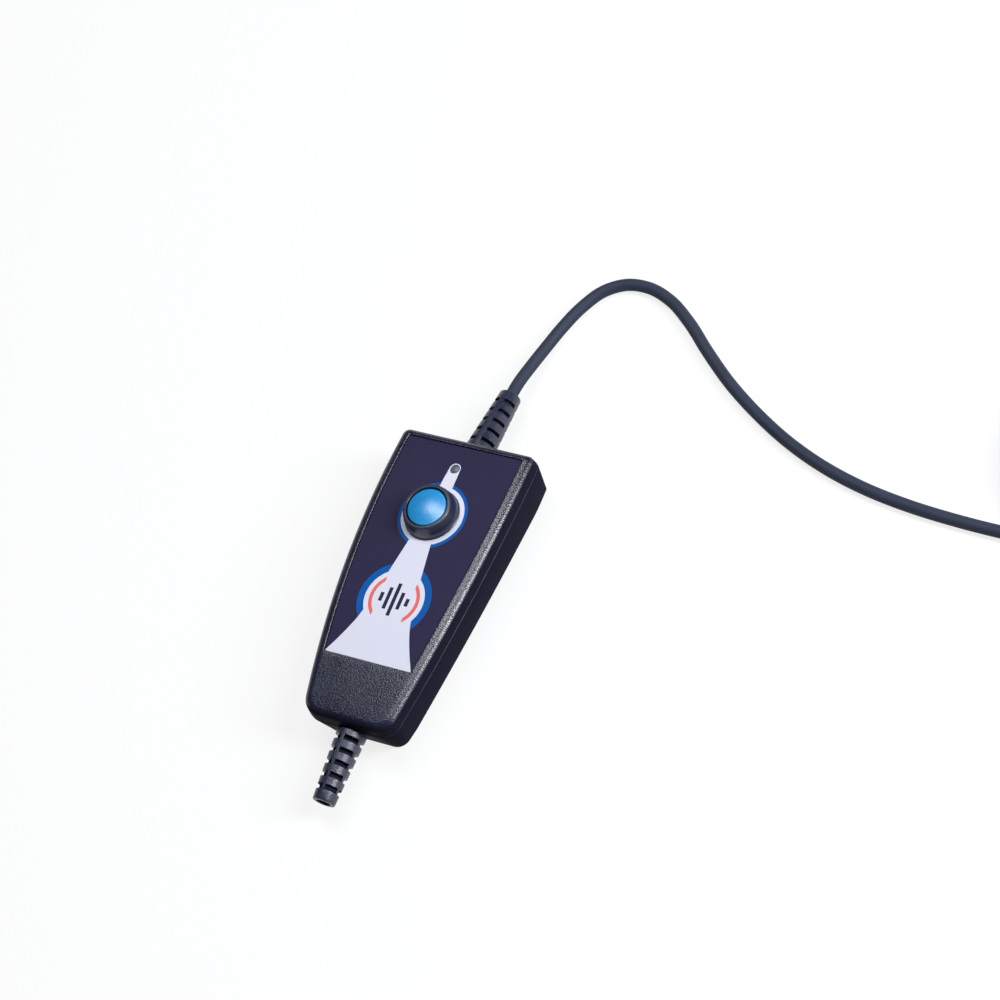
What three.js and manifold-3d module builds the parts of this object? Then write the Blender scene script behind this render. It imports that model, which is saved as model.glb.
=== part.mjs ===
// Hand-held audiometer response box with one push button, two slotted cord boots and a cord.
// Millimetres. X runs across the box, Y along it towards the corded head end, Z up.
// The box lies on its back: the underside rests on two flat strips at the height zero.

import * as THREE from "three";
import { mergeVertices } from "three/addons/utils/BufferGeometryUtils.js";
import Module from "manifold-3d";

const wasm = await Module();
wasm.setup();

// Two-shell housing. It tapers to the foot, its sides bow and its face and underside are arched.
const housing = {
  length: 100,
  widestWidth: 48.4,
  footWidth: 31.2,
  widestFromHead: 14,
  headThickness: 20,
  footThickness: 18.4,
  faceArch: 2.3,
  undersideArch: 2.3,
  restLength: 10,
  wall: 2,
  faceWall: 2.3,
  headCorner: 2.6,
  footCorner: 6.5,
  leastCorner: 0.6,
  partingDepth: 5.1,
  shadowGap: 0.3,
  frontDraft: 0.35,
  headDraft: 1.7,
  footDraft: 2.2,
  lowerEdge: 2,
  ceilingEdge: 0.6,
  rimWidth: 3.1,
  endRimWidth: 2.1,
  rimDrop: 1.8,
  tongueHeight: 1,
  tongueWall: 0.7,
};

// Clearances that every fit uses, and the overrun that every cut uses.
const fit = { seat: 0.3, pocket: 0.15, glue: 0.05, overrun: 1 };

const label = {
  sideInset: 3.6,
  fromHead: 2.8,
  length: 76.8,
  thickness: 0.3,
  recess: 0.35,
};

const button = {
  fromHead: 28.05,
  baseRadius: 9,
  rimRadius: 7.85,
  rimEdge: 0.4,
  rise: 5.7,
  floor: 1.05,
  neckRadius: 5.5,
  neckReach: 3.2,
  capRadius: 6.4,
  capSetDown: 0.25,
  capDome: 1,
  capEdge: 0.45,
  capTop: 1,
  skirtDepth: 2.6,
  skirtWall: 1.1,
  stemRadius: 2.3,
  stemDip: 0.8,
  travel: 1.5,
  nutAcross: 14,
  nutThickness: 2,
};

const spring = { radius: 3.9, wireRadius: 0.2, turns: 2.5 };

const board = {
  topHeight: 9,
  thickness: 1.6,
  sideInset: 4.4,
  headFromHead: 15,
  footFromFoot: 17,
  tongueWidth: 22,
  tongueFromHead: 6,
  postRadius: 2.4,
  postInset: 8,
  headPostFromHead: 22,
  footPostFromFoot: 23,
  screwRadius: 0.9,
  screwHeadRadius: 1.9,
  screwHeadHeight: 1.3,
  screwGrip: 5,
};

const pushSwitch = { width: 12, height: 5.8, wellFloor: 0.5 };

const led = {
  fromHead: 10.9,
  radius: 1.5,
  recess: 0.6,
  height: 5.2,
  flangeRadius: 1.9,
  flangeHeight: 1,
  spacerRadius: 2.3,
  coverHoleRadius: 1.85,
  labelHoleRadius: 1.65,
};

const chips = {
  sound: { width: 9, length: 9, height: 1.4, x: -6.5, fromHead: 55 },
  control: { width: 7, length: 7, height: 1, x: 6.5, fromHead: 47 },
  crystal: { width: 4.6, length: 11.4, height: 3.6, x: -6.5, fromHead: 43 },
};

const capacitor = { radius: 2.5, height: 5.4, x: 7.5, firstFromHead: 56, pitch: 7 };

const connector = { width: 9, length: 2.4, height: 5.2, fromHead: 7.3 };

// Screws that hold the two shells together, from the underside up into pillars of the front cover.
const housingScrew = {
  headFromHead: 10,
  footFromFoot: 10.5,
  sideInset: 8.3,
  pillarRadius: 3,
  bossRadius: 4.2,
  seatHeight: 4,
  webThickness: 2,
  headRadius: 2.6,
  headHeight: 1.8,
  shankRadius: 1.25,
  shankLength: 9,
  pilotDepth: 8.5,
  driveWidth: 0.7,
  driveLength: 2.6,
  driveDepth: 1,
};

// Slotted strain-relief boot: rings of slots at even distances, each slot facing a diagonal.
const boot = {
  length: 24,
  rootRadius: 4.85,
  tipRadius: 3.65,
  tipEdge: 0.35,
  bore: 2.3,
  neckRadius: 3.9,
  standOff: 0.5,
  innerStandOff: 0.8,
  flangeRadius: 5.3,
  flangeThickness: 1.6,
  sleeveRadius: 2.75,
  firstSlot: 3.35,
  slotPitch: 4.1,
  slotLength: 1.7,
  slotRings: 5,
  slotsRound: 4,
  slotShare: 1.12,
};

const headBoot = { height: 11.4, tiltShare: 0.1, turnShare: 0 };
const footBoot = { height: 10.2, tiltShare: 0.045, turnShare: 0.022 };

// Round cord: inside the head boot, free on the table, wound for storage, and up to its plug.
const cord = { radius: 2, sides: 8, steps: 28, tailSteps: 5, straight: 5 };

const coil = {
  centreX: 201,
  centreY: 102.85,
  outerRadius: 36.15,
  pitch: 4.6,
  lift: 1.2,
  sides: 6,
  stepsPerTurn: 24,
  turns: 9 + 1 / 12,
  startShare: -0.25,
};

const tie = { thickness: 0.9, width: 7, room: 0.3, angleShare: 0.4 };

const plug = {
  x: 247.5,
  backY: 104,
  bodyWidth: 15.6,
  bodyHeight: 7.8,
  bodyLength: 25.4,
  bodyCorner: 2,
  bodyBevel: 0.8,
  reliefLength: 12,
  reliefRootRadius: 3.5,
  reliefTipRadius: 2.7,
  shellWidth: 12,
  shellHeight: 4.5,
  shellLength: 18.8,
  shellWall: 0.35,
  shellSink: 6,
  tongueHeight: 1.8,
  tongueLength: 12.5,
};

// The free cord's points after its straight start, chosen by hand along the photographed bend.
const cordRoute = [
  [0.7, 87.5, 4.6],
  [1.7, 95, 3],
  [3.6, 103, 2.3],
  [7.3, 112.2, 2.2],
  [12.2, 119.2, 2.2],
  [18.8, 123, 2.2],
  [26.8, 123.5, 2.2],
  [35.7, 120.6, 2.2],
  [44.9, 114.5, 2.2],
  [55.3, 105.6, 2.2],
  [67.3, 96.2, 2.2],
  [80, 88.1, 2.2],
  [93.5, 81, 2.2],
  [108, 75.3, 2.2],
  [123, 71.3, 2.2],
  [139, 68.8, 2.2],
  [156, 67.5, 2.2],
  [172, 67, 2.4],
  [184, 66.8, 3],
];

// The points between the coil and the plug.
const tailRoute = [
  [229, 77.9, 7.5],
  [236.6, 84.2, 5.9],
  [243.2, 91.2, 4.4],
];

const steps = { corner: 5, side: 12, rest: 2, rim: 4, round: 24, smallRound: 12, boot: 24, cap: 32 };

const halfLength = housing.length / 2;
const widestY = halfLength - housing.widestFromHead;
const sideBow = (housing.widestWidth - housing.footWidth) / 2 / (widestY + halfLength) ** 2;
const fullTurn = 2 * Math.PI;

function mix(a, b, share) {
  return a + (b - a) * share;
}

// Half width of the housing where its two shells meet.
function halfWidthAt(y) {
  return housing.widestWidth / 2 - sideBow * (widestY - y) ** 2;
}

// Height of the front face, of the underside and of the line where the shells meet.
function face(y) {
  const ends = mix(housing.footThickness, housing.headThickness, (y + halfLength) / housing.length);
  return ends + housing.faceArch * (1 - (y / halfLength) ** 2);
}

function underside(y) {
  const archHalf = halfLength - housing.restLength;
  return Math.max(0, housing.undersideArch * (1 - (y / archHalf) ** 2));
}

function parting(y) {
  return face(y) - housing.partingDepth;
}

function labelTop(y) {
  return face(y) - label.recess;
}

function ceiling(y) {
  return face(y) - housing.faceWall;
}

// Draft of the rear cover's walls: how far they lean in at the underside.
function rearDraft(y) {
  return mix(housing.footDraft, housing.headDraft, (y + halfLength) / housing.length);
}

// A level of a loft: how far its outline lies inside the housing's, and its height at each Y.
function evenLevel(inset, height, endInset = inset) {
  return { side: () => inset, head: endInset, foot: endInset, height };
}

function draftLevel(share, inset, height) {
  return {
    side: (y) => share * rearDraft(y) + inset,
    head: share * housing.headDraft + inset,
    foot: share * housing.footDraft + inset,
    height,
  };
}

// The rounded corner between a side and an end: direction 1 is the head end, -1 the foot end.
function corner(halfAt, endY, radius, direction) {
  const y = endY - direction * radius;
  const slope = 2 * sideBow * (widestY - y);
  return {
    x: halfAt(y) - radius * Math.hypot(1, slope),
    y,
    radius,
    sideAngle: Math.atan2(-slope, 1),
  };
}

function arcRows(bend, from, to) {
  const rows = [];
  for (let i = 0; i <= steps.corner; i += 1) {
    const angle = mix(from, to, i / steps.corner);
    rows.push([bend.x + bend.radius * Math.cos(angle), bend.y + bend.radius * Math.sin(angle)]);
  }
  return rows;
}

// Y places along a side. The underside's arch starts and ends on one, so its rests stay flat.
function sideStations(startY, endY) {
  const archHalf = halfLength - housing.restLength;
  const share = steps.rest / (steps.side + 2 * steps.rest);
  const archStart = startY > archHalf ? archHalf : mix(startY, endY, share);
  const archEnd = endY < -archHalf ? -archHalf : mix(endY, startY, share);
  const stretches = [
    [startY, archStart, steps.rest],
    [archStart, archEnd, steps.side],
    [archEnd, endY, steps.rest],
  ];
  const stations = stretches.flatMap(([from, to, count]) =>
    Array.from({ length: count }, (_, i) => mix(from, to, i / count)),
  );
  return stations.slice(1);
}

// Right half of a level's outline, from the head end to the foot end.
function outlineRows(level) {
  const halfAt = (y) => halfWidthAt(y) - level.side(y);
  const headRadius = Math.max(housing.headCorner - level.head, housing.leastCorner);
  const footRadius = Math.max(housing.footCorner - level.foot, housing.leastCorner);
  const head = corner(halfAt, halfLength - level.head, headRadius, 1);
  const foot = corner(halfAt, -halfLength + level.foot, footRadius, -1);
  const headRows = arcRows(head, Math.PI / 2, head.sideAngle);
  const footRows = arcRows(foot, foot.sideAngle, -Math.PI / 2);
  const heights = sideStations(headRows.at(-1)[1], footRows[0][1]);
  const sideRows = heights.map((y) => [halfAt(y), y]);
  return [...headRows, ...sideRows, ...footRows];
}

// A closed solid through the given levels, from the lowest to the highest.
function loft(levels) {
  const positions = [];
  const indices = [];
  const rowCount = outlineRows(levels[0]).length;
  const ring = 2 * rowCount;
  for (const level of levels) {
    const rows = outlineRows(level);
    rows.forEach(([x, y]) => positions.push(x, y, level.height(y)));
    rows.reverse().forEach(([x, y]) => positions.push(-x, y, level.height(y)));
  }
  for (let k = 0; k + 1 < levels.length; k += 1) {
    for (let i = 0; i < ring; i += 1) {
      const a = k * ring + i;
      const b = k * ring + ((i + 1) % ring);
      indices.push(a, a + ring, b, b, a + ring, b + ring);
    }
  }
  const top = (levels.length - 1) * ring;
  for (let i = 0; i + 1 < rowCount; i += 1) {
    const left = ring - 1 - i;
    indices.push(i, left - 1, left, i, i + 1, left - 1);
    indices.push(top + i, top + left, top + left - 1, top + i, top + left - 1, top + i + 1);
  }
  return solidOf(indexed(positions, indices));
}

function indexed(positions, indices) {
  const geometry = new THREE.BufferGeometry();
  geometry.setAttribute("position", new THREE.Float32BufferAttribute(positions, 3));
  geometry.setIndex(indices);
  return geometry;
}

// A closed mesh with shared vertices as a solid that can be joined and cut.
function solidOf(geometry) {
  const bare = geometry.clone();
  bare.deleteAttribute("normal");
  bare.deleteAttribute("uv");
  const merged = mergeVertices(bare);
  const corners = merged.index.array;
  const kept = [];
  for (let i = 0; i < corners.length; i += 3) {
    const [a, b, c] = [corners[i], corners[i + 1], corners[i + 2]];
    if (a !== b && b !== c && c !== a) {
      kept.push(a, b, c);
    }
  }
  return new wasm.Manifold(
    new wasm.Mesh({
      numProp: 3,
      vertProperties: new Float32Array(merged.attributes.position.array),
      triVerts: new Uint32Array(kept),
    }),
  );
}

function join(...solids) {
  return solids.reduce((whole, solid) => whole.add(solid));
}

function cut(solid, ...tools) {
  return tools.reduce((rest, tool) => rest.subtract(tool), solid);
}

function geometryOf(solid) {
  const mesh = solid.getMesh();
  const geometry = new THREE.BufferGeometry();
  const positions = Float32Array.from(mesh.vertProperties);
  geometry.setAttribute("position", new THREE.BufferAttribute(positions, 3));
  geometry.setIndex([...mesh.triVerts]);
  geometry.computeVertexNormals();
  return geometry;
}

// A turned solid about the Z axis from points of radius and height.
function turned(points, segments = steps.round) {
  const profile = points.map(([radius, height]) => new THREE.Vector2(radius, height));
  const geometry = new THREE.LatheGeometry([...profile, profile[0]], segments);
  return geometry.rotateX(Math.PI / 2);
}

// An upright round bar between two heights.
function bar(radius, low, high, x, y, segments = steps.round) {
  const geometry = turned([[0, low], [radius, low], [radius, high], [0, high]], segments);
  return geometry.translate(x, y, 0);
}

// A box from its sizes, the middle of its base and the height of its base.
function block(width, length, height, x, y, low) {
  return new THREE.BoxGeometry(width, length, height).translate(x, y, low + height / 2);
}

const finishes = {
  housing: { color: 0x22222a, roughness: 0.55, metalness: 0 },
  label: { color: 0x33304f, roughness: 0.35, metalness: 0 },
  bezel: { color: 0x1b1c20, roughness: 0.2, metalness: 0 },
  cap: { color: 0x1aa0d8, roughness: 0.25, metalness: 0 },
  rubber: { color: 0x34384a, roughness: 0.6, metalness: 0 },
  cord: { color: 0x2b2e3a, roughness: 0.5, metalness: 0 },
  lens: { color: 0x4a4d55, roughness: 0.2, metalness: 0 },
  nylon: { color: 0x17181c, roughness: 0.5, metalness: 0 },
  steel: { color: 0x9a9da3, roughness: 0.35, metalness: 1 },
  resin: { color: 0x1f5a34, roughness: 0.5, metalness: 0 },
  chip: { color: 0x1a1b1e, roughness: 0.5, metalness: 0 },
};

function piece(name, solid, finish) {
  const mesh = new THREE.Mesh(geometryOf(solid), new THREE.MeshStandardMaterial(finishes[finish]));
  mesh.name = name;
  return mesh;
}

// Where a boot sits: on the outside of an end wall, leaning down as that wall does.
function bootSeat(settings, direction, draft) {
  const wallTop = parting(direction * halfLength) - housing.shadowGap / 2;
  const lean = (draft * (wallTop - settings.height)) / (wallTop - housing.lowerEdge);
  const seat = new THREE.Group();
  seat.position.set(0, direction * (halfLength - lean), settings.height);
  seat.rotation.x = -direction * (Math.PI / 2 + settings.tiltShare * (Math.PI / 2));
  seat.updateMatrix();
  return seat;
}

const headSeat = bootSeat(headBoot, 1, housing.headDraft);
const footSeat = bootSeat(footBoot, -1, housing.footDraft);

function bootHole(seat) {
  const reach = housing.wall + boot.innerStandOff + fit.overrun;
  const hole = bar(boot.neckRadius + fit.seat, -reach, reach, 0, 0);
  return solidOf(hole.applyMatrix4(seat.matrix));
}

const buttonY = halfLength - button.fromHead;
const ledY = halfLength - led.fromHead;
const buttonBase = labelTop(buttonY);
const buttonFloor = buttonBase + button.floor;
const buttonRim = buttonBase + button.rise;
const capRim = buttonRim - button.capSetDown;
const nutTop = ceiling(buttonY + button.nutAcross / 2) - fit.seat;
const neckHole = button.neckRadius + fit.seat;
const switchTop = board.topHeight + pushSwitch.height;

const screwPlaces = [
  [1, halfLength - housingScrew.headFromHead],
  [-1, halfLength - housingScrew.headFromHead],
  [1, -halfLength + housingScrew.footFromFoot],
  [-1, -halfLength + housingScrew.footFromFoot],
].map(([side, y]) => ({ x: side * (halfWidthAt(y) - housingScrew.sideInset), y }));

const postPlaces = [
  [1, halfLength - board.headPostFromHead],
  [-1, halfLength - board.headPostFromHead],
  [1, -halfLength + board.footPostFromFoot],
  [-1, -halfLength + board.footPostFromFoot],
].map(([side, y]) => ({ x: side * (halfWidthAt(y) - board.postInset), y }));

const pillarFoot = housingScrew.seatHeight + housingScrew.webThickness + fit.seat;

// The outline of the label, or of the pocket that it lies in, with a clearance all round.
function labelLevel(clearance, height) {
  return {
    side: () => label.sideInset - clearance,
    head: label.fromHead - clearance,
    foot: housing.length - label.fromHead - label.length - clearance,
    height,
  };
}

// Levels of the front cover's rim: its section is a quarter of an ellipse.
function rimLevels() {
  return Array.from({ length: steps.rim + 1 }, (_, i) => {
    const angle = (i / steps.rim) * (Math.PI / 2);
    const share = 1 - Math.cos(angle);
    const drop = housing.rimDrop * (1 - Math.sin(angle));
    const endInset = housing.frontDraft + housing.endRimWidth * share;
    return evenLevel(housing.frontDraft + housing.rimWidth * share, (y) => face(y) - drop, endInset);
  });
}

function frontCover() {
  const bottom = (y) => parting(y) + housing.shadowGap / 2;
  const draft = housing.frontDraft;
  const outer = loft([evenLevel(0, bottom), ...rimLevels()]);
  const cavityFoot = (y) => parting(y) - fit.overrun;
  const cavity = loft([
    evenLevel(housing.wall, cavityFoot),
    evenLevel(housing.wall + draft, (y) => ceiling(y) - housing.ceilingEdge),
    evenLevel(housing.wall + draft + housing.ceilingEdge, ceiling),
  ]);
  const grooveInset = housing.wall - housing.tongueWall - fit.seat;
  const grooveTop = (y) => parting(y) + housing.tongueHeight + fit.seat;
  const groove = loft([evenLevel(grooveInset, cavityFoot), evenLevel(grooveInset, grooveTop)]);
  const pocketFloor = (y) => labelTop(y) - label.thickness - fit.glue;
  const pocket = loft([
    labelLevel(fit.pocket, pocketFloor),
    labelLevel(fit.pocket, (y) => face(y) + fit.overrun),
  ]);
  const pillars = screwPlaces.map(({ x, y }) => {
    const top = face(y) - housing.faceWall / 2;
    return solidOf(bar(housingScrew.pillarRadius, pillarFoot, top, x, y, steps.smallRound));
  });
  const posts = postPlaces.map(({ x, y }) => {
    const top = face(y) - housing.faceWall / 2;
    return solidOf(bar(board.postRadius, board.topHeight, top, x, y, steps.smallRound));
  });
  const screwHole = housingScrew.shankRadius + fit.seat;
  const pilots = screwPlaces.map(({ x, y }) => {
    const low = pillarFoot - fit.overrun;
    const high = pillarFoot + housingScrew.pilotDepth;
    return solidOf(bar(screwHole, low, high, x, y, steps.smallRound));
  });
  const boardScrewHole = board.screwRadius + fit.seat;
  const boardPilots = postPlaces.map(({ x, y }) => {
    const low = board.topHeight - fit.overrun;
    const high = board.topHeight + board.screwGrip;
    return solidOf(bar(boardScrewHole, low, high, x, y, steps.smallRound));
  });
  const holeTop = face(0) + fit.overrun;
  const buttonHole = solidOf(bar(neckHole, board.topHeight, holeTop, 0, buttonY));
  const ledHole = solidOf(
    bar(led.coverHoleRadius, board.topHeight, holeTop, 0, ledY, steps.smallRound),
  );
  const shell = cut(outer, cavity, groove);
  return cut(
    join(shell, ...pillars, ...posts),
    pocket,
    buttonHole,
    ledHole,
    ...pilots,
    ...boardPilots,
    bootHole(headSeat),
    bootHole(footSeat),
  );
}

function rearCover() {
  const top = (y) => parting(y) - housing.shadowGap / 2;
  const edge = housing.lowerEdge;
  const outer = loft([
    draftLevel(1, edge, underside),
    draftLevel(1, edge * (1 - Math.SQRT1_2), (y) => underside(y) + edge * (1 - Math.SQRT1_2)),
    draftLevel(1, 0, (y) => underside(y) + edge),
    draftLevel(0, 0, top),
  ]);
  const tongueInset = housing.wall - housing.tongueWall;
  const tongueTop = (y) => parting(y) + housing.tongueHeight;
  const tongue = loft([
    evenLevel(tongueInset, (y) => parting(y) - housing.tongueHeight),
    evenLevel(tongueInset, tongueTop),
  ]);
  const floorAt = (y) => underside(y) + housing.wall;
  const cavity = loft([
    draftLevel(1, housing.wall + edge / 2, floorAt),
    draftLevel(1, housing.wall, (y) => floorAt(y) + edge / 2),
    draftLevel(0, housing.wall, (y) => parting(y) - housing.tongueHeight),
    draftLevel(0, housing.wall, (y) => tongueTop(y) + fit.overrun),
  ]);
  const bossTop = housingScrew.seatHeight + housingScrew.webThickness;
  const bosses = screwPlaces.map(({ x, y }) =>
    solidOf(bar(housingScrew.bossRadius, underside(y) + housing.wall / 2, bossTop, x, y)),
  );
  const recesses = screwPlaces.map(({ x, y }) => {
    const radius = housingScrew.headRadius + fit.seat;
    return solidOf(bar(radius, -fit.overrun, housingScrew.seatHeight, x, y));
  });
  const holes = screwPlaces.map(({ x, y }) => {
    const radius = housingScrew.shankRadius + fit.seat;
    return solidOf(bar(radius, 0, bossTop + fit.overrun, x, y, steps.smallRound));
  });
  return cut(
    join(cut(join(outer, tongue), cavity), ...bosses),
    ...recesses,
    ...holes,
    bootHole(headSeat),
    bootHole(footSeat),
  );
}

function frontLabel() {
  const under = (y) => labelTop(y) - label.thickness;
  const sheet = loft([labelLevel(0, under), labelLevel(0, labelTop)]);
  const low = under(0) - housing.faceArch - label.thickness;
  const high = labelTop(0) + fit.overrun;
  return cut(
    sheet,
    solidOf(bar(neckHole, low, high, 0, buttonY)),
    solidOf(bar(led.labelHoleRadius, low, high, 0, ledY)),
  );
}

// Conical bezel: its base follows the arched label, its neck goes through the cover to the nut.
function buttonBezel() {
  const well = button.capRadius + fit.seat;
  const stemHole = button.stemRadius + fit.seat;
  const neckFoot = nutTop - button.neckReach;
  const cone = turned(
    [
      [neckHole, buttonBase - fit.overrun],
      [button.baseRadius, buttonBase - fit.overrun],
      [button.baseRadius, buttonBase + button.rimEdge],
      [mix(button.baseRadius, button.rimRadius, 1 / 2), buttonBase + button.rise / 2],
      [button.rimRadius, buttonRim - button.rimEdge],
      [button.rimRadius - button.rimEdge / 4, buttonRim - button.rimEdge / 4],
      [button.rimRadius - button.rimEdge, buttonRim],
      [well, buttonRim],
      [well, buttonFloor],
      [neckHole, buttonFloor],
    ],
    steps.cap,
  );
  const neck = turned(
    [
      [stemHole, neckFoot],
      [button.neckRadius, neckFoot],
      [button.neckRadius, buttonBase + fit.seat],
      [well, buttonBase + 2 * fit.seat],
      [well, buttonFloor],
      [stemHole, buttonFloor],
    ],
    steps.cap,
  );
  const saddle = loft([
    labelLevel(0, (y) => labelTop(y) - fit.overrun - button.rise),
    labelLevel(0, (y) => labelTop(y) + fit.seat),
  ]);
  const onLabel = cut(solidOf(cone.translate(0, buttonY, 0)), saddle);
  return join(onLabel, solidOf(neck.translate(0, buttonY, 0)));
}

// Domed cap with a skirt round the spring and a stem that reaches into the switch.
function buttonCap() {
  const skirtFoot = capRim - button.skirtDepth;
  const skirtInner = button.capRadius - button.skirtWall;
  const inside = capRim - button.capTop;
  const stemFoot = switchTop - button.stemDip;
  const dome = [1, 3 / 4, 1 / 2, 1 / 4].map((share) => [
    (button.capRadius - button.capEdge) * share,
    capRim + button.capDome * (1 - share ** 2),
  ]);
  const profile = turned(
    [
      [0, stemFoot],
      [button.stemRadius, stemFoot],
      [button.stemRadius, inside],
      [skirtInner, inside],
      [skirtInner, skirtFoot],
      [button.capRadius, skirtFoot],
      [button.capRadius, capRim - button.capEdge],
      ...dome,
      [0, capRim + button.capDome],
    ],
    steps.cap,
  );
  return solidOf(profile.translate(0, buttonY, 0));
}

function hexagon(across) {
  const shape = new THREE.Shape();
  const radius = across / 2 / Math.cos(Math.PI / 6);
  for (let i = 0; i < 6; i += 1) {
    const angle = (i * Math.PI) / 3;
    shape.lineTo(radius * Math.cos(angle), radius * Math.sin(angle));
  }
  return shape;
}

function buttonNut() {
  const shape = hexagon(button.nutAcross);
  const blank = new THREE.ExtrudeGeometry(shape, {
    depth: button.nutThickness,
    bevelEnabled: false,
  });
  const low = nutTop - button.nutThickness;
  const hole = bar(neckHole, low - fit.overrun, nutTop + fit.overrun, 0, buttonY);
  return cut(solidOf(blank.translate(0, buttonY, low)), solidOf(hole));
}

// One unbroken round tube through a row of points, with flat ends square to its path.
function tube(points, radius, sides) {
  const positions = [];
  const indices = [];
  const up = new THREE.Vector3(0, 0, 1);
  points.forEach((point, i) => {
    const before = points[Math.max(i - 1, 0)];
    const after = points[Math.min(i + 1, points.length - 1)];
    const along = after.clone().sub(before).normalize();
    const across = new THREE.Vector3().crossVectors(along, up).normalize();
    const over = new THREE.Vector3().crossVectors(across, along);
    for (let k = 0; k < sides; k += 1) {
      const angle = (fullTurn * (k + 1 / 2)) / sides;
      const spoke = across.clone().multiplyScalar(radius * Math.cos(angle));
      spoke.addScaledVector(over, radius * Math.sin(angle));
      positions.push(...point.clone().add(spoke).toArray());
    }
  });
  for (let i = 0; i + 1 < points.length; i += 1) {
    for (let k = 0; k < sides; k += 1) {
      const a = i * sides + k;
      const b = i * sides + ((k + 1) % sides);
      indices.push(a, a + sides, b, b, a + sides, b + sides);
    }
  }
  const last = (points.length - 1) * sides;
  for (let k = 1; k + 1 < sides; k += 1) {
    indices.push(0, k, k + 1);
    indices.push(last, last + k + 1, last + k);
  }
  return solidOf(indexed(positions, indices));
}

// Least clear gap of a wound tube to its own other turns, measured on its points.
function leastGap(points, radius, pointsPerTurn) {
  let least = Infinity;
  const apart = Math.floor(pointsPerTurn / 2);
  for (let i = 0; i < points.length; i += 1) {
    for (let j = i + apart; j + 1 < points.length; j += 1) {
      const stretch = new THREE.Line3(points[j], points[j + 1]);
      const nearest = stretch.closestPointToPoint(points[i], true, new THREE.Vector3());
      least = Math.min(least, nearest.distanceTo(points[i]) - 2 * radius);
    }
  }
  return least;
}

function buttonSpring() {
  const low = buttonFloor + fit.seat + spring.wireRadius;
  const high = capRim - button.capTop - fit.seat - spring.wireRadius;
  const perTurn = 8;
  const count = spring.turns * perTurn;
  const points = [];
  for (let i = 0; i <= count; i += 1) {
    const angle = (fullTurn * i) / perTurn;
    const x = spring.radius * Math.cos(angle);
    const y = buttonY + spring.radius * Math.sin(angle);
    points.push(new THREE.Vector3(x, y, mix(low, high, i / count)));
  }
  const gap = leastGap(points, spring.wireRadius, perTurn);
  console.log(`button spring least gap ${gap.toFixed(2)} mm`);
  return tube(points, spring.wireRadius, 5);
}

function buttonSwitch() {
  const body = block(
    pushSwitch.width,
    pushSwitch.width,
    pushSwitch.height,
    0,
    buttonY,
    board.topHeight,
  );
  const wellDepth = button.stemDip + button.travel + pushSwitch.wellFloor;
  const radius = button.stemRadius + fit.seat;
  const well = bar(radius, switchTop - wellDepth, switchTop + fit.overrun, 0, buttonY);
  return cut(solidOf(body), solidOf(well));
}

function circuitBoard() {
  const low = board.topHeight - board.thickness;
  const outline = (height) => ({
    side: () => board.sideInset,
    head: board.headFromHead,
    foot: board.footFromFoot,
    height: () => height,
  });
  const tongueStart = halfLength - board.headFromHead - fit.overrun;
  const tongueEnd = halfLength - board.tongueFromHead;
  const tongue = block(
    board.tongueWidth,
    tongueEnd - tongueStart,
    board.thickness,
    0,
    (tongueStart + tongueEnd) / 2,
    low,
  );
  const sheet = join(loft([outline(low), outline(board.topHeight)]), solidOf(tongue));
  const holes = postPlaces.map(({ x, y }) => {
    const radius = board.screwRadius + fit.seat;
    const top = board.topHeight + fit.overrun;
    return solidOf(bar(radius, low - fit.overrun, top, x, y, steps.smallRound));
  });
  return cut(sheet, ...holes);
}

function statusLed() {
  const top = labelTop(ledY) - led.recess;
  const low = top - led.height;
  const shoulder = top - led.radius;
  const dome = [1, 2, 3].map((i) => {
    const angle = (i * Math.PI) / 8;
    return [led.radius * Math.cos(angle), shoulder + led.radius * Math.sin(angle)];
  });
  const lens = turned(
    [
      [0, low],
      [led.flangeRadius, low],
      [led.flangeRadius, low + led.flangeHeight],
      [led.radius, low + led.flangeHeight],
      [led.radius, shoulder],
      ...dome,
      [0, top],
    ],
    steps.smallRound,
  );
  return solidOf(lens.translate(0, ledY, 0));
}

function ledSpacer() {
  const top = labelTop(ledY) - led.recess - led.height;
  return solidOf(bar(led.spacerRadius, board.topHeight, top, 0, ledY, steps.smallRound));
}

function chip({ width, length, height, x, fromHead }) {
  return solidOf(block(width, length, height, x, halfLength - fromHead, board.topHeight));
}

function capacitorCan(index) {
  const y = halfLength - capacitor.firstFromHead - index * capacitor.pitch;
  const top = board.topHeight + capacitor.height;
  return solidOf(bar(capacitor.radius, board.topHeight, top, capacitor.x, y, steps.smallRound));
}

function cordConnector() {
  const y = halfLength - connector.fromHead;
  return solidOf(
    block(connector.width, connector.length, connector.height, 0, y, board.topHeight),
  );
}

// Pan-head screw that points up, with a cross recess in its head.
function screw({ headRadius, headHeight, shankRadius, shankLength }, seatHeight, x, y) {
  const low = seatHeight - headHeight;
  const head = turned(
    [
      [0, low],
      [headRadius - headHeight / 2, low],
      [headRadius, low + headHeight / 2],
      [headRadius, seatHeight],
      [shankRadius, seatHeight],
      [shankRadius, seatHeight + shankLength - shankRadius],
      [0, seatHeight + shankLength],
    ],
    steps.smallRound,
  );
  return solidOf(head.translate(x, y, 0));
}

function housingScrewAt({ x, y }) {
  const size = housingScrew;
  const low = size.seatHeight - size.headHeight - size.driveDepth;
  const slot = (width, length) => solidOf(block(width, length, 2 * size.driveDepth, x, y, low));
  return cut(
    screw(size, size.seatHeight, x, y),
    slot(size.driveWidth, size.driveLength),
    slot(size.driveLength, size.driveWidth),
  );
}

function boardScrewAt({ x, y }) {
  const size = {
    headRadius: board.screwHeadRadius,
    headHeight: board.screwHeadHeight,
    shankRadius: board.screwRadius,
    shankLength: board.thickness + board.screwGrip - fit.overrun,
  };
  return screw(size, board.topHeight - board.thickness, x, y);
}

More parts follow.
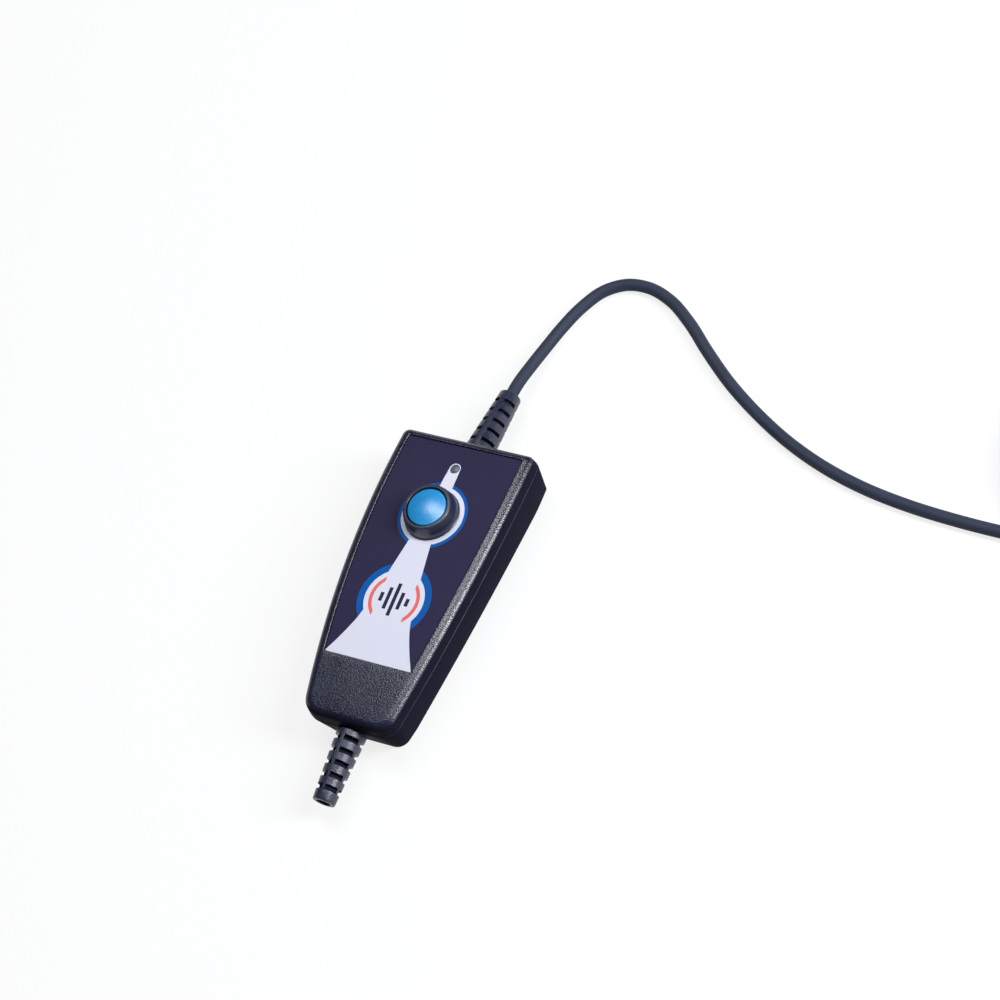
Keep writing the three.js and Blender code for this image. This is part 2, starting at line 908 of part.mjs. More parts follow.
function bootRadiusAt(z) {
  return mix(boot.rootRadius, boot.tipRadius, (z - boot.standOff) / (boot.length - boot.standOff));
}

// Boot along its own Z axis, from the outside of the wall that holds it in its groove.
// The slots of a ring face the diagonals, and the whole boot is turned by its share of a turn.
function slottedBoot({ turnShare }) {
  const grooveFoot = -housing.wall - boot.innerStandOff;
  const innerEnd = grooveFoot - boot.flangeThickness;
  const body = turned(
    [
      [boot.bore, innerEnd],
      [boot.flangeRadius, innerEnd],
      [boot.flangeRadius, grooveFoot],
      [boot.neckRadius, grooveFoot],
      [boot.neckRadius, boot.standOff],
      [boot.rootRadius, boot.standOff],
      [boot.tipRadius, boot.length - boot.tipEdge],
      [boot.tipRadius - boot.tipEdge, boot.length],
      [boot.bore, boot.length],
    ],
    steps.boot,
  );
  const slots = [];
  for (let i = 0; i < boot.slotRings; i += 1) {
    const z = boot.firstSlot + i * boot.slotPitch;
    const radius = bootRadiusAt(z);
    const depth = radius - boot.sleeveRadius + fit.overrun;
    const middle = boot.sleeveRadius + depth / 2;
    const foot = z - boot.slotLength / 2;
    for (let k = 0; k < boot.slotsRound; k += 1) {
      const pocket = block(boot.slotShare * radius, depth, boot.slotLength, 0, middle, foot);
      const turn = ((k + 1 / 2) / boot.slotsRound + turnShare) * fullTurn;
      slots.push(solidOf(pocket.rotateZ(turn)));
    }
  }
  return cut(solidOf(body), ...slots);
}

function cordInBoot() {
  const innerEnd = -housing.wall - boot.innerStandOff - boot.flangeThickness - 2 * fit.seat;
  return solidOf(bar(cord.radius, innerEnd, boot.length, 0, 0, steps.smallRound));
}

// A free stretch of the cord along a smooth curve.
function freeStretch(points, count) {
  const section = new THREE.Shape();
  for (let i = 0; i < cord.sides; i += 1) {
    const angle = (fullTurn * i) / cord.sides;
    section.lineTo(cord.radius * Math.cos(angle), cord.radius * Math.sin(angle));
  }
  const path = new THREE.CatmullRomCurve3(points, false, "centripetal");
  console.log(`free stretch ${path.getLength().toFixed(1)} mm`);
  const geometry = new THREE.ExtrudeGeometry(section, { steps: count, extrudePath: path });
  return solidOf(geometry);
}

// The wound cord spirals in on its lower layer, climbs in half a turn and spirals out on top.
function coilPoints() {
  const count = Math.round(coil.turns * coil.stepsPerTurn);
  const start = coil.startShare * fullTurn;
  const low = coil.lift + cord.radius;
  const middle = coil.turns / 2;
  const points = [];
  for (let i = 0; i <= count; i += 1) {
    const turn = (coil.turns * i) / count;
    const radius = coil.outerRadius - coil.pitch * Math.min(turn, coil.turns - turn);
    const climb = THREE.MathUtils.smoothstep(turn, middle - 1 / 4, middle + 1 / 4);
    const angle = start + turn * fullTurn;
    const x = coil.centreX + radius * Math.cos(angle);
    const y = coil.centreY + radius * Math.sin(angle);
    points.push(new THREE.Vector3(x, y, low + coil.pitch * climb));
  }
  const lead = 2 * cord.radius;
  const first = points[0];
  const last = points[count];
  points.unshift(first.clone().addScaledVector(turnDirection(start), -lead));
  points.push(last.clone().addScaledVector(turnDirection(start + coil.turns * fullTurn), lead));
  return points;
}

function turnDirection(angle) {
  return new THREE.Vector3(-Math.sin(angle), Math.cos(angle), 0);
}

function pathLength(points) {
  return points.slice(1).reduce((sum, point, i) => sum + point.distanceTo(points[i]), 0);
}

// Flat band round the bundle of turns at one place of the coil.
function cordTie() {
  const layers = 2;
  const inRadius = coil.outerRadius - (coil.pitch * coil.turns) / 2 - cord.radius - tie.room;
  const outRadius = coil.outerRadius + cord.radius + tie.room;
  const low = coil.lift - tie.room;
  const high = coil.lift + layers * coil.pitch + tie.room;
  const width = outRadius - inRadius;
  const middle = (inRadius + outRadius) / 2;
  const wall = 2 * tie.thickness;
  const band = block(width + wall, tie.width, high - low + wall, middle, 0, low - tie.thickness);
  const room = block(width, tie.width + fit.overrun, high - low, middle, 0, low);
  const placed = (geometry) => {
    geometry.rotateZ(tie.angleShare * fullTurn);
    return solidOf(geometry.translate(coil.centreX, coil.centreY, 0));
  };
  return cut(placed(band), placed(room));
}

function roundedRectangle(width, height, radius) {
  const shape = new THREE.Shape();
  const x = width / 2 - radius;
  const y = height / 2 - radius;
  shape.absarc(x, y, radius, 0, Math.PI / 2);
  shape.absarc(-x, y, radius, Math.PI / 2, Math.PI);
  shape.absarc(-x, -y, radius, Math.PI, 3 * (Math.PI / 2));
  shape.absarc(x, -y, radius, 3 * (Math.PI / 2), 2 * Math.PI);
  return shape;
}

// The plug's pieces are built along Z and laid along Y on the table.
function laidAlong(geometry, y) {
  return solidOf(geometry.rotateX(-Math.PI / 2).translate(plug.x, y, plug.bodyHeight / 2));
}

const plugBodyY = plug.backY + plug.reliefLength;
const plugFrontY = plugBodyY + plug.bodyLength;

function plugBody() {
  const bevel = plug.bodyBevel;
  const shape = roundedRectangle(
    plug.bodyWidth - 2 * bevel,
    plug.bodyHeight - 2 * bevel,
    plug.bodyCorner - bevel,
  );
  const body = new THREE.ExtrudeGeometry(shape, {
    depth: plug.bodyLength - 2 * bevel,
    bevelThickness: bevel,
    bevelSize: bevel,
    bevelSegments: 2,
    curveSegments: 3,
  });
  const relief = turned(
    [
      [0, 0],
      [plug.reliefTipRadius, 0],
      [plug.reliefRootRadius, plug.reliefLength],
      [plug.reliefRootRadius, plug.reliefLength + 2 * bevel],
      [0, plug.reliefLength + 2 * bevel],
    ],
    steps.smallRound,
  );
  const socket = new THREE.BoxGeometry(
    plug.shellWidth + 2 * fit.seat,
    plug.shellHeight + 2 * fit.seat,
    2 * plug.shellSink,
  );
  return cut(
    join(laidAlong(body, plugBodyY + bevel), laidAlong(relief, plug.backY)),
    laidAlong(socket, plugFrontY),
  );
}

function plugShell() {
  const { shellWidth, shellHeight, shellLength, shellWall, shellSink } = plug;
  const start = plugFrontY - shellSink + fit.seat;
  const length = shellSink - fit.seat + shellLength;
  const outside = new THREE.BoxGeometry(shellWidth, shellHeight, length);
  const inside = new THREE.BoxGeometry(
    shellWidth - 2 * shellWall,
    shellHeight - 2 * shellWall,
    length + fit.overrun,
  );
  const middle = start + length / 2;
  return cut(laidAlong(outside, middle), laidAlong(inside, middle));
}

function plugTongue() {
  const { shellWidth, shellHeight, shellWall, tongueHeight, tongueLength } = plug;
  const room = shellWall + fit.seat;
  const width = shellWidth - 2 * room;
  const backLength = plug.shellSink - 2 * fit.seat;
  const back = new THREE.BoxGeometry(width, shellHeight - 2 * room, backLength);
  const blade = new THREE.BoxGeometry(width, tongueHeight, tongueLength + fit.overrun);
  const drop = shellHeight / 2 - room - tongueHeight / 2;
  blade.translate(0, -drop, 0);
  return join(
    laidAlong(back, plugFrontY - backLength / 2),
    laidAlong(blade, plugFrontY + (tongueLength - fit.overrun) / 2),
  );
}

// The whole box is centred between the tips of its two boots.
function tipReach(seat, settings) {
  const tilt = settings.tiltShare * (Math.PI / 2);
  const along = boot.length * Math.cos(tilt);
  const upper = (boot.tipRadius - boot.tipEdge) * Math.sin(tilt);
  const shoulderAlong = (boot.length - boot.tipEdge) * Math.cos(tilt);
  const shoulderUpper = boot.tipRadius * Math.sin(tilt);
  return Math.abs(seat.position.y) + Math.max(along + upper, shoulderAlong + shoulderUpper);
}

const centring = (tipReach(footSeat, footBoot) - tipReach(headSeat, headBoot)) / 2;

const audiometer = new THREE.Group();
const box = new THREE.Group();
box.position.y = centring;
audiometer.add(box);

box.add(
  piece("front_cover", frontCover(), "housing"),
  piece("rear_cover", rearCover(), "housing"),
  piece("front_label", frontLabel(), "label"),
  piece("button_bezel", buttonBezel(), "bezel"),
  piece("button_cap", buttonCap(), "cap"),
  piece("button_spring", buttonSpring(), "steel"),
  piece("button_nut", buttonNut(), "steel"),
  piece("button_switch", buttonSwitch(), "nylon"),
  piece("status_led", statusLed(), "lens"),
  piece("led_spacer", ledSpacer(), "nylon"),
  piece("circuit_board", circuitBoard(), "resin"),
  piece("sound_chip", chip(chips.sound), "chip"),
  piece("control_chip", chip(chips.control), "chip"),
  piece("crystal", chip(chips.crystal), "steel"),
  piece("capacitor_1", capacitorCan(0), "steel"),
  piece("capacitor_2", capacitorCan(1), "steel"),
  piece("cord_connector", cordConnector(), "nylon"),
);
screwPlaces.forEach((place, i) => {
  box.add(piece(`housing_screw_${i + 1}`, housingScrewAt(place), "steel"));
});
postPlaces.forEach((place, i) => {
  box.add(piece(`board_screw_${i + 1}`, boardScrewAt(place), "steel"));
});

headSeat.add(piece("head_boot", slottedBoot(headBoot), "rubber"));
headSeat.add(piece("cord_in_boot", cordInBoot(), "cord"));
footSeat.add(piece("foot_boot", slottedBoot(footBoot), "rubber"));
box.add(headSeat, footSeat);
audiometer.updateMatrixWorld(true);

const alongBoot = (z) => new THREE.Vector3(0, 0, z).applyMatrix4(headSeat.matrixWorld);
const wound = coilPoints();
const coilGap = leastGap(wound, cord.radius, coil.stepsPerTurn);
console.log(`coil least gap ${coilGap.toFixed(2)} mm, length ${pathLength(wound).toFixed(1)} mm`);

const inward = turnDirection(coil.startShare * fullTurn);
const outward = turnDirection((coil.startShare + coil.turns) * fullTurn);
const cordPoints = [
  alongBoot(boot.length + fit.seat),
  alongBoot(boot.length + cord.straight),
  ...cordRoute.map(([x, y, z]) => new THREE.Vector3(x, y, z)),
  wound[0].clone().addScaledVector(inward, -cord.straight),
  wound[0].clone().addScaledVector(inward, -fit.seat),
];
const plugAxis = (y) => new THREE.Vector3(plug.x, y, plug.bodyHeight / 2);
const tailPoints = [
  wound.at(-1).clone().addScaledVector(outward, fit.seat),
  ...tailRoute.map(([x, y, z]) => new THREE.Vector3(x, y, z)),
  plugAxis(plug.backY - cord.straight),
  plugAxis(plug.backY - fit.seat),
];
audiometer.add(
  piece("cord", freeStretch(cordPoints, cord.steps), "cord"),
  piece("cord_coil", tube(wound, cord.radius, coil.sides), "cord"),
  piece("cord_tail", freeStretch(tailPoints, cord.tailSteps), "cord"),
  piece("cord_tie", cordTie(), "nylon"),
  piece("plug_body", plugBody(), "rubber"),
  piece("plug_shell", plugShell(), "steel"),
  piece("plug_tongue", plugTongue(), "nylon"),
);

export default audiometer;
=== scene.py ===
# Hand-held audiometer box: arched two-shell housing, push button, slotted cord boots, cord and plug.
import math

import bmesh
import bpy
import numpy as np
from mathutils import Matrix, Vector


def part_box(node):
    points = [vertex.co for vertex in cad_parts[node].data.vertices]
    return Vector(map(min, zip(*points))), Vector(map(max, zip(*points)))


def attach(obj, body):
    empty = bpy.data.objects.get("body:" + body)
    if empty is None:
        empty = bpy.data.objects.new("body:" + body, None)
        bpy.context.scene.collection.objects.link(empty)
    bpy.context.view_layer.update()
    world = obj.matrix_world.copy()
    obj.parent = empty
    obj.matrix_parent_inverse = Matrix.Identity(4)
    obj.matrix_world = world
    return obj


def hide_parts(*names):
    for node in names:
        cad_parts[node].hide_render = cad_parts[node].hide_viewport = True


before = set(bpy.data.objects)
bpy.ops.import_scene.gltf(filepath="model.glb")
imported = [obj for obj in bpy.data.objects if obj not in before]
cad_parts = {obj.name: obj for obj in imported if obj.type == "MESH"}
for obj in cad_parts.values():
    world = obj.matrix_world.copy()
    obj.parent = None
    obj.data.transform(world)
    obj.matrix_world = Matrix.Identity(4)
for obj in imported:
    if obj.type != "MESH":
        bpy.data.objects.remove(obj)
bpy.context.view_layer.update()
for spare in ("Cube", "Light", "Camera"):  # what Blender's own start file holds
    if spare in bpy.data.objects:
        bpy.data.objects.remove(bpy.data.objects[spare])

# Shapes are worked out in millimetres from the middle of the housing; meshObject moves them into the frame.
mm = 0.001  # metres
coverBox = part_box("front_cover")
shiftY = (coverBox[0].y + coverBox[1].y) / 2 / mm
print("frame loaded, housing middle at", round(shiftY, 3), "mm")


def mix(a, b, share):
    # A share of the way from a to b
    return a + (b - a) * share


def aroundCircle(steps):
    # Angles once round, without the last, which is the first again
    return np.linspace(0, 2 * math.pi, steps, endpoint=False)


def quarterTurn(steps):
    # Angles from 0 to a right angle, both ends included
    return np.linspace(0, math.pi / 2, steps)


# Camera and lights
view = {  # camera axes seen from the box, worked out from the edges of the photograph's housing and label
    "right": (0.8612, 0.3878, -0.3284),
    "up": (-0.2037, 0.8555, 0.4760),
    "back": (0.4656, -0.3430, 0.8158),
    "place": (567.46, -371.46, 980.83),
    "focalPixels": 3810.4,
    "framePixels": 1000,
    "sensor": 36,
    "clip": (0.05, 20),
}


def placeCamera():
    # The lens is the sensor's width times the focal length over the frame's width, both in pixels
    data = bpy.data.cameras.new("camera")
    data.sensor_width = view["sensor"]
    data.lens = view["sensor"] * view["focalPixels"] / view["framePixels"]
    data.clip_start, data.clip_end = view["clip"]
    camera = bpy.data.objects.new("camera", data)
    bpy.context.scene.collection.objects.link(camera)
    turn = Matrix([view["right"], view["up"], view["back"]]).transposed().to_quaternion().normalized()
    camera.rotation_mode = "QUATERNION"
    camera.rotation_quaternion = turn
    x, y, z = view["place"]
    camera.location = (x * mm, (y + shiftY) * mm, z * mm)
    bpy.context.scene.camera = camera


placeCamera()

lamps = {  # a bright box from the right and a dimmer one overhead, each lying along its own line
    "rightSoftBox": {"towards": (0.755, 0.18, 0.6), "along": (1, 0.17, 0), "size": (0.8, 0.36), "watts": 15.1},
    "overheadSoftBox": {
        "towards": (-0.05, 0.265, 0.96), "along": (1, -0.35, 0), "size": (0.96, 0.31), "watts": 7.1},
}
lampDistance = 1.25
lampColour = (0.93, 0.96, 1.0)


def placeLamps():
    # Each lamp looks back at the origin; its long side is its line, made square to the way it looks
    for name, lamp in lamps.items():
        data = bpy.data.lights.new(name, "AREA")
        data.shape = "RECTANGLE"
        data.size, data.size_y = lamp["size"]
        data.energy = lamp["watts"]
        data.color = lampColour
        holder = bpy.data.objects.new(name, data)
        bpy.context.scene.collection.objects.link(holder)
        towards = np.array(lamp["towards"]) / np.linalg.norm(lamp["towards"])
        along = np.array(lamp["along"]) - towards * (towards @ lamp["along"])
        along /= np.linalg.norm(along)
        holder.location = towards * lampDistance
        holder.rotation_mode = "QUATERNION"
        axes = Matrix([along.tolist(), np.cross(towards, along).tolist(), towards.tolist()])
        holder.rotation_quaternion = axes.transposed().to_quaternion()


placeLamps()
print("camera and lamps placed")


# Materials
def linear(hexColour):
    # sRGB hex to linear light, by the standard curve
    parts = np.array([int(hexColour[i:i + 2], 16) for i in (1, 3, 5)]) / 255
    low = parts / 12.92
    high = ((parts + 0.055) / 1.055) ** 2.4
    return (*np.where(parts <= 0.04045, low, high).tolist(), 1.0)


def addNode(tree, kind, inputs=None, **settings):
    # Adds a node; an input takes a link when its value is another node's socket
    node = tree.nodes.new("ShaderNode" + kind)
    for key, value in settings.items():
        setattr(node, key, value)
    for key, value in (inputs or {}).items():
        if isinstance(value, bpy.types.NodeSocket):
            tree.links.new(value, node.inputs[key])
        else:
            node.inputs[key].default_value = value
    return node


def startMaterial(name, roughness, metallic=0.0, ior=1.5):
    # A shader joined to its output, with the object's coordinates; a metal keeps the default IOR
    material = bpy.data.materials.new(name)
    material.use_nodes = True
    tree = material.node_tree
    tree.nodes.clear()
    shader = addNode(tree, "BsdfPrincipled", {"Roughness": roughness, "Metallic": metallic})
    if not metallic:
        shader.inputs["IOR"].default_value = ior
    addNode(tree, "OutputMaterial", {"Surface": shader.outputs[0]})
    place = addNode(tree, "TexCoord").outputs["Object"]
    return material, tree, shader, place


patternRange = (0.7, 1.3)  # what the fine and the slow pattern add up to over most of a surface


def grainedSurface(name, colour, paler, roughness, grain, depth, metallic=0.0, mottle=9.0, sheen=0.0,
                   specular=0.5, glossSpread=0.12, ior=1.5, pitted=False):
    # One fine pattern of a real grain size, noise or the small cells of a pitted skin, makes the bump and a
    # change of colour and gloss; a slow noise, mottle millimetres wide, keeps large faces from looking even.
    material, tree, shader, place = startMaterial(name, roughness, metallic, ior)
    shader.inputs["Specular IOR Level"].default_value = specular
    if pitted:
        fine = addNode(tree, "TexVoronoi", {"Vector": place, "Scale": 1 / (grain * mm)})
    else:
        fine = addNode(tree, "TexNoise", {"Vector": place, "Scale": 1 / (grain * mm), "Detail": 2.0})
    slow = addNode(tree, "TexNoise", {"Vector": place, "Scale": 1 / (mottle * mm), "Detail": 3.0})
    both = addNode(tree, "Math", {0: fine.outputs[0], 1: slow.outputs[0]}, operation="ADD")
    least, most = patternRange
    spread = addNode(tree, "MapRange", {"Value": both.outputs[0], "From Min": least, "From Max": most})
    tint = addNode(tree, "Mix", {0: spread.outputs[0], 6: linear(colour), 7: linear(paler)}, data_type="RGBA")
    tree.links.new(tint.outputs[2], shader.inputs["Base Color"])
    gloss = addNode(tree, "MapRange", {
        "Value": both.outputs[0], "From Min": least, "From Max": most,
        "To Min": roughness * (1 - glossSpread), "To Max": min(roughness * (1 + glossSpread), 1)})
    tree.links.new(gloss.outputs[0], shader.inputs["Roughness"])
    relief = addNode(tree, "Bump", {"Strength": 1.0, "Distance": depth * mm, "Height": fine.outputs[0]})
    tree.links.new(relief.outputs[0], shader.inputs["Normal"])
    if sheen:
        shader.inputs["Sheen Weight"].default_value = sheen
    return material


recipes = {  # colours are sRGB; grain, depth and mottle are millimetres
    # injection-moulded ABS from a spark-eroded tool: small pits that break every highlight into sparks, drawn
    # twice as coarse as the real 0.2 mm so that they show
    "sparkGrainAbs": {
        "colour": "#070B22", "paler": "#151A39", "roughness": 0.29, "grain": 0.42, "depth": 0.055,
        "specular": 1.0, "glossSpread": 0.2, "pitted": True},
    # the same moulding where it slid along the tool as it was drawn: its steep sides are matt, almost
    # without gloss; the boots also put it on their slot floors as painted shade
    "drawnSideAndSlotShadeAbs": {
        "colour": "#1B1B2B", "paler": "#242434", "roughness": 0.5, "grain": 0.5, "depth": 0.06,
        "specular": 0.012},
    # satin black ABS for the button's bezel: a soft sheen, with faint flow marks
    "satinBlackAbs": {
        "colour": "#1F2237", "paler": "#262941", "roughness": 0.36, "grain": 1.2, "depth": 0.002,
        "mottle": 5, "specular": 0.75},
    # the same moulding at the tool's joint, in a lighter colour: a painted highlight, a fine dull line of light
    # along the parting lip
    "paintedLipHighlightAbs": {
        "colour": "#1F2237", "paler": "#262941", "roughness": 0.5, "grain": 1.2, "depth": 0.002,
        "mottle": 5, "specular": 0.3},
    # satin blue ABS for the button's cap: clean saturated colour with a soft wide highlight
    "satinBlueAbs": {
        "colour": "#008ED0", "paler": "#0498DE", "roughness": 0.33, "grain": 0.4, "depth": 0.03,
        "mottle": 3, "specular": 1.0, "ior": 1.66},
    # flexible PVC, moulded: dull blue-black with a soft skin
    "mouldedPvc": {
        "colour": "#1A1E33", "paler": "#2E334D", "roughness": 0.36, "grain": 0.5, "depth": 0.07,
        "specular": 0.8, "glossSpread": 0.3},
    # flexible PVC, extruded as a cord's sheath: smoother, with a long soft highlight
    "extrudedPvc": {
        "colour": "#2D3344", "paler": "#363D4F", "roughness": 0.62, "grain": 0.5, "depth": 0.006,
        "mottle": 14, "specular": 0.3},
    # cast epoxy of the indicator lamp: smoky grey and glossy
    "castEpoxy": {
        "colour": "#4D515F", "paler": "#747889", "roughness": 0.3, "grain": 0.8, "depth": 0.002, "mottle": 1.5},
    # moulded nylon: black with a slight haze
    "mouldedNylon": {
        "colour": "#131418", "paler": "#1D1E23", "roughness": 0.45, "grain": 0.3, "depth": 0.006},
    # woven nylon hook-and-loop strap: matt, fibrous
    "wovenNylon": {
        "colour": "#15161B", "paler": "#24262D", "roughness": 0.8, "grain": 0.35, "depth": 0.07, "sheen": 0.3},
    # zinc-plated steel: bright, with a fine mottled passivation
    "platedSteel": {
        "colour": "#A9ABB0", "paler": "#C3C5C9", "roughness": 0.28, "grain": 0.25, "depth": 0.004,
        "metallic": 1.0, "mottle": 2},
    # drawn nickel-plated steel sheet of the plug: fine polish
    "nickelSheet": {
        "colour": "#B9BABB", "paler": "#CFCFCE", "roughness": 0.2, "grain": 0.2, "depth": 0.002,
        "metallic": 1.0, "mottle": 4},
    # gold flash on the plug's contacts: warm and bright
    "goldFlash": {
        "colour": "#D8A94A", "paler": "#E6BD62", "roughness": 0.22, "grain": 0.2, "depth": 0.002,
        "metallic": 1.0, "mottle": 1},
    # drawn aluminium can of a capacitor: pale, softly brushed
    "drawnAluminium": {
        "colour": "#B4B6B9", "paler": "#CDCED0", "roughness": 0.32, "grain": 0.3, "depth": 0.003,
        "metallic": 1.0, "mottle": 2},
    # glass-epoxy board under green solder resist: the weave shows faintly
    "solderResist": {
        "colour": "#0F4A26", "paler": "#1A6335", "roughness": 0.35, "grain": 0.5, "depth": 0.01, "mottle": 3},
    # black epoxy of chip packages: even and dull
    "chipEpoxy": {
        "colour": "#121315", "paler": "#1B1C1F", "roughness": 0.5, "grain": 0.2, "depth": 0.004, "mottle": 2},
}
finishes = {name: grainedSurface(name, **recipe) for name, recipe in recipes.items()}
print("plain materials made:", len(finishes))


# Meshes
mergeDistance, leastEdge = 1e-7, 1e-8  # metres


def gridQuads(rows, columns, closedRows=False):
    # Quads of a grid of points whose columns run round in a ring
    row = np.arange(rows if closedRows else rows - 1)[:, None] * columns
    column = np.arange(columns)[None, :]
    after = (column + 1) % columns
    above = (row + columns) % (rows * columns)
    return np.stack([row + column, row + after, above + after, above + column], -1).reshape(-1, 4)


def meshObject(name, points, faces, moveIn=True):
    # An object from points in millimetres; doubles are merged and faces turned outwards
    points = np.asarray(points, float).reshape(-1, 3)
    if moveIn:
        points = points + (0, shiftY, 0)
    mesh = bpy.data.meshes.new(name)
    mesh.from_pydata((points * mm).tolist(), [], [list(map(int, face)) for face in faces])
    shape = bmesh.new()
    shape.from_mesh(mesh)
    bmesh.ops.remove_doubles(shape, verts=shape.verts, dist=mergeDistance)
    bmesh.ops.dissolve_degenerate(shape, edges=shape.edges, dist=leastEdge)
    bmesh.ops.recalc_face_normals(shape, faces=shape.faces)
    shape.to_mesh(mesh)
    shape.free()
    piece = bpy.data.objects.new(name, mesh)
    bpy.context.scene.collection.objects.link(piece)
    return piece


def bake(piece):
    # Applies the piece's modifiers
    graph = bpy.context.evaluated_depsgraph_get()
    mesh = bpy.data.meshes.new_from_object(piece.evaluated_get(graph))
    piece.modifiers.clear()
    piece.data = mesh


def carve(piece, *tools, operation="DIFFERENCE"):
    # Cuts the tools out of the piece, or joins them to it, and removes them
    for tool in tools:
        change = piece.modifiers.new("carve", "BOOLEAN")
        change.operation = operation
        change.solver = "MANIFOLD"
        change.object = tool
    bpy.context.view_layer.update()
    bake(piece)
    for tool in tools:
        bpy.data.objects.remove(tool)
    return piece


def finishPiece(piece, finish, body="housing", sharp=35, nodes=()):
    # Material, smooth shading up to the sharp angle, body, and the nodes that the piece stands for
    piece.data.materials.clear()
    piece.data.materials.append(finishes[finish])
    piece.data.shade_smooth()
    piece.data.set_sharp_from_angle(angle=math.radians(sharp))
    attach(piece, body)
    if nodes:
        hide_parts(*nodes)
    return piece


skin = {  # where the housing's moulded skin changes; each is a normal's share of 1 apart from the reach in mm
    "steep": 0.44, "foot": 0.5, "reach": 1.0, "lipHighlightUp": 0.3,
}


def splitFinish(piece, lipHighlightBand=(0.0, 0.0)):
    # Steep faces, whose normals rise or fall less than the limit, take the matt finish, and so do the foot's
    # rounded edge and the lips that lie within reach of the parting. Faces that look up between the two given
    # depths under the parting take a lighter colour, a painted highlight that draws a fine line of light.
    for finish in ("drawnSideAndSlotShadeAbs", "paintedLipHighlightAbs"):
        piece.data.materials.append(finishes[finish])
    faces = piece.data.polygons
    normals, centres = np.empty(len(faces) * 3), np.empty(len(faces) * 3)
    faces.foreach_get("normal", normals)
    faces.foreach_get("center", centres)
    alongY, upwards = normals[1::3], normals[2::3]
    heights = centres[2::3] / mm - parting(centres[1::3] / mm - shiftY)
    matt = (np.abs(upwards) < skin["steep"]) | (alongY < -skin["foot"]) | (np.abs(heights) < skin["reach"])
    edge = (heights < -lipHighlightBand[0]) & (heights > -lipHighlightBand[1]) & (upwards > skin["lipHighlightUp"])
    faces.foreach_set("material_index", np.where(edge, 2, matt))
    piece.data.update()
    return piece


def turnedPoints(profile, segments, centre=(0, 0)):
    # A profile of radius and height carried round an upright axis
    profile = np.asarray(profile, float)
    angle = aroundCircle(segments)
    x = profile[:, :1] * np.cos(angle) + centre[0]
    y = profile[:, :1] * np.sin(angle) + centre[1]
    z = np.repeat(profile[:, 1:], segments, axis=1)
    return np.stack([x, y, z], -1)


def roundedCorner(before, corner, after, radius, steps):
    # Arc of a given radius between two straight runs of a profile, as its points
    before, corner, after = (np.asarray(p, float) for p in (before, corner, after))
    a = (before - corner) / np.linalg.norm(before - corner)
    b = (after - corner) / np.linalg.norm(after - corner)
    half = math.acos(np.clip(a @ b, -1, 1)) / 2
    reach = radius / math.tan(half)
    centre = corner + (a + b) / np.linalg.norm(a + b) * radius / math.sin(half)
    start, end = corner + a * reach - centre, corner + b * reach - centre
    sweep = math.pi - 2 * half
    share = np.linspace(0, 1, steps)[:, None]
    return centre + (np.sin((1 - share) * sweep) * start + np.sin(share * sweep) * end) / math.sin(sweep)


def softProfile(corners, steps):
    # A closed profile of radius, height and rounding: each corner gets an arc, and 0 keeps it sharp
    points = [corner[:2] for corner in corners]
    rows = []
    for i, (radius, height, rounding) in enumerate(corners):
        if rounding:
            after = points[(i + 1) % len(points)]
            rows.append(roundedCorner(points[i - 1], points[i], after, rounding, steps))
        else:
            rows.append(np.array([(radius, height)], float))
    return np.concatenate(rows)


def turnedPiece(name, profile, segments, centre=(0, 0), closed=False, moveIn=True):
    # A turned profile as an object; a closed one joins its last point to its first
    points = turnedPoints(profile, segments, centre)
    return meshObject(name, points, gridQuads(len(points), segments, closed), moveIn)


def barTool(name, radius, low, high, x, y, segments=48, moveIn=True):
    # An upright round bar between two heights
    profile = [(0, low), (radius, low), (radius, high), (0, high)]
    return turnedPiece(name, profile, segments, (x, y), moveIn=moveIn)


def blockTool(name, width, length, height, centre, turn=0.0):
    # A box about its centre, turned about the upright axis through the origin
    signs = np.array([(x, y, z) for z in (-1, 1) for x, y in ((-1, -1), (1, -1), (1, 1), (-1, 1))], float)
    points = signs * (width / 2, length / 2, height / 2) + centre
    cos, sin = math.cos(turn), math.sin(turn)
    points = points @ np.array([[cos, sin, 0], [-sin, cos, 0], [0, 0, 1]])
    sides = [(i, (i + 1) % 4, (i + 1) % 4 + 4, i + 4) for i in range(4)]
    return meshObject(name, points, [(3, 2, 1, 0), (4, 5, 6, 7), *sides], moveIn=False)


def squared(wave, power):
    # A wave that keeps its sign while its size is raised to a power: under 1 it fills an oval's corners
    return np.sign(wave) * np.abs(wave) ** power


# The free cord comes first, with its coil, tail, tie and plug. It starts in the head boot, whose seat follows
# from the housing, so the sizes of both stand here.
boots = {
    "length": 24, "rootRadius": 4.85, "tipRadius": 3.65, "bore": 2.3, "sides": 96,
    "neckRadius": 3.9, "standOff": 0.5, "innerStandOff": 0.8, "flangeRadius": 5.3, "flangeThickness": 1.6,
    "holeRoom": 0.3, "holeReach": 3.8,
    "firstSlot": 3.35, "slotPitch": 4.1, "slotRings": 5, "slotSpare": 1,
    "sleeveFrom": 0.5, "sleeveShort": 1, "slotShadeRadius": 3.1, "slotShadeShort": 1.5,
    "head": {"height": 11.4, "tilt": 0.1, "direction": 1, "draft": 1.7, "turnShare": 0,
             "slotShares": (1.05, 1.05, 1.05, 1.05), "slotLength": 1.4, "sleeveRadius": 2.75},
    "foot": {"height": 10.2, "tilt": 0.045, "direction": -1, "draft": 2.2, "turnShare": 0.022,
             "slotShares": (1.42, 1.05, 1.42, 1.05), "slotLength": 1.8, "sleeveRadius": 2.5},
}
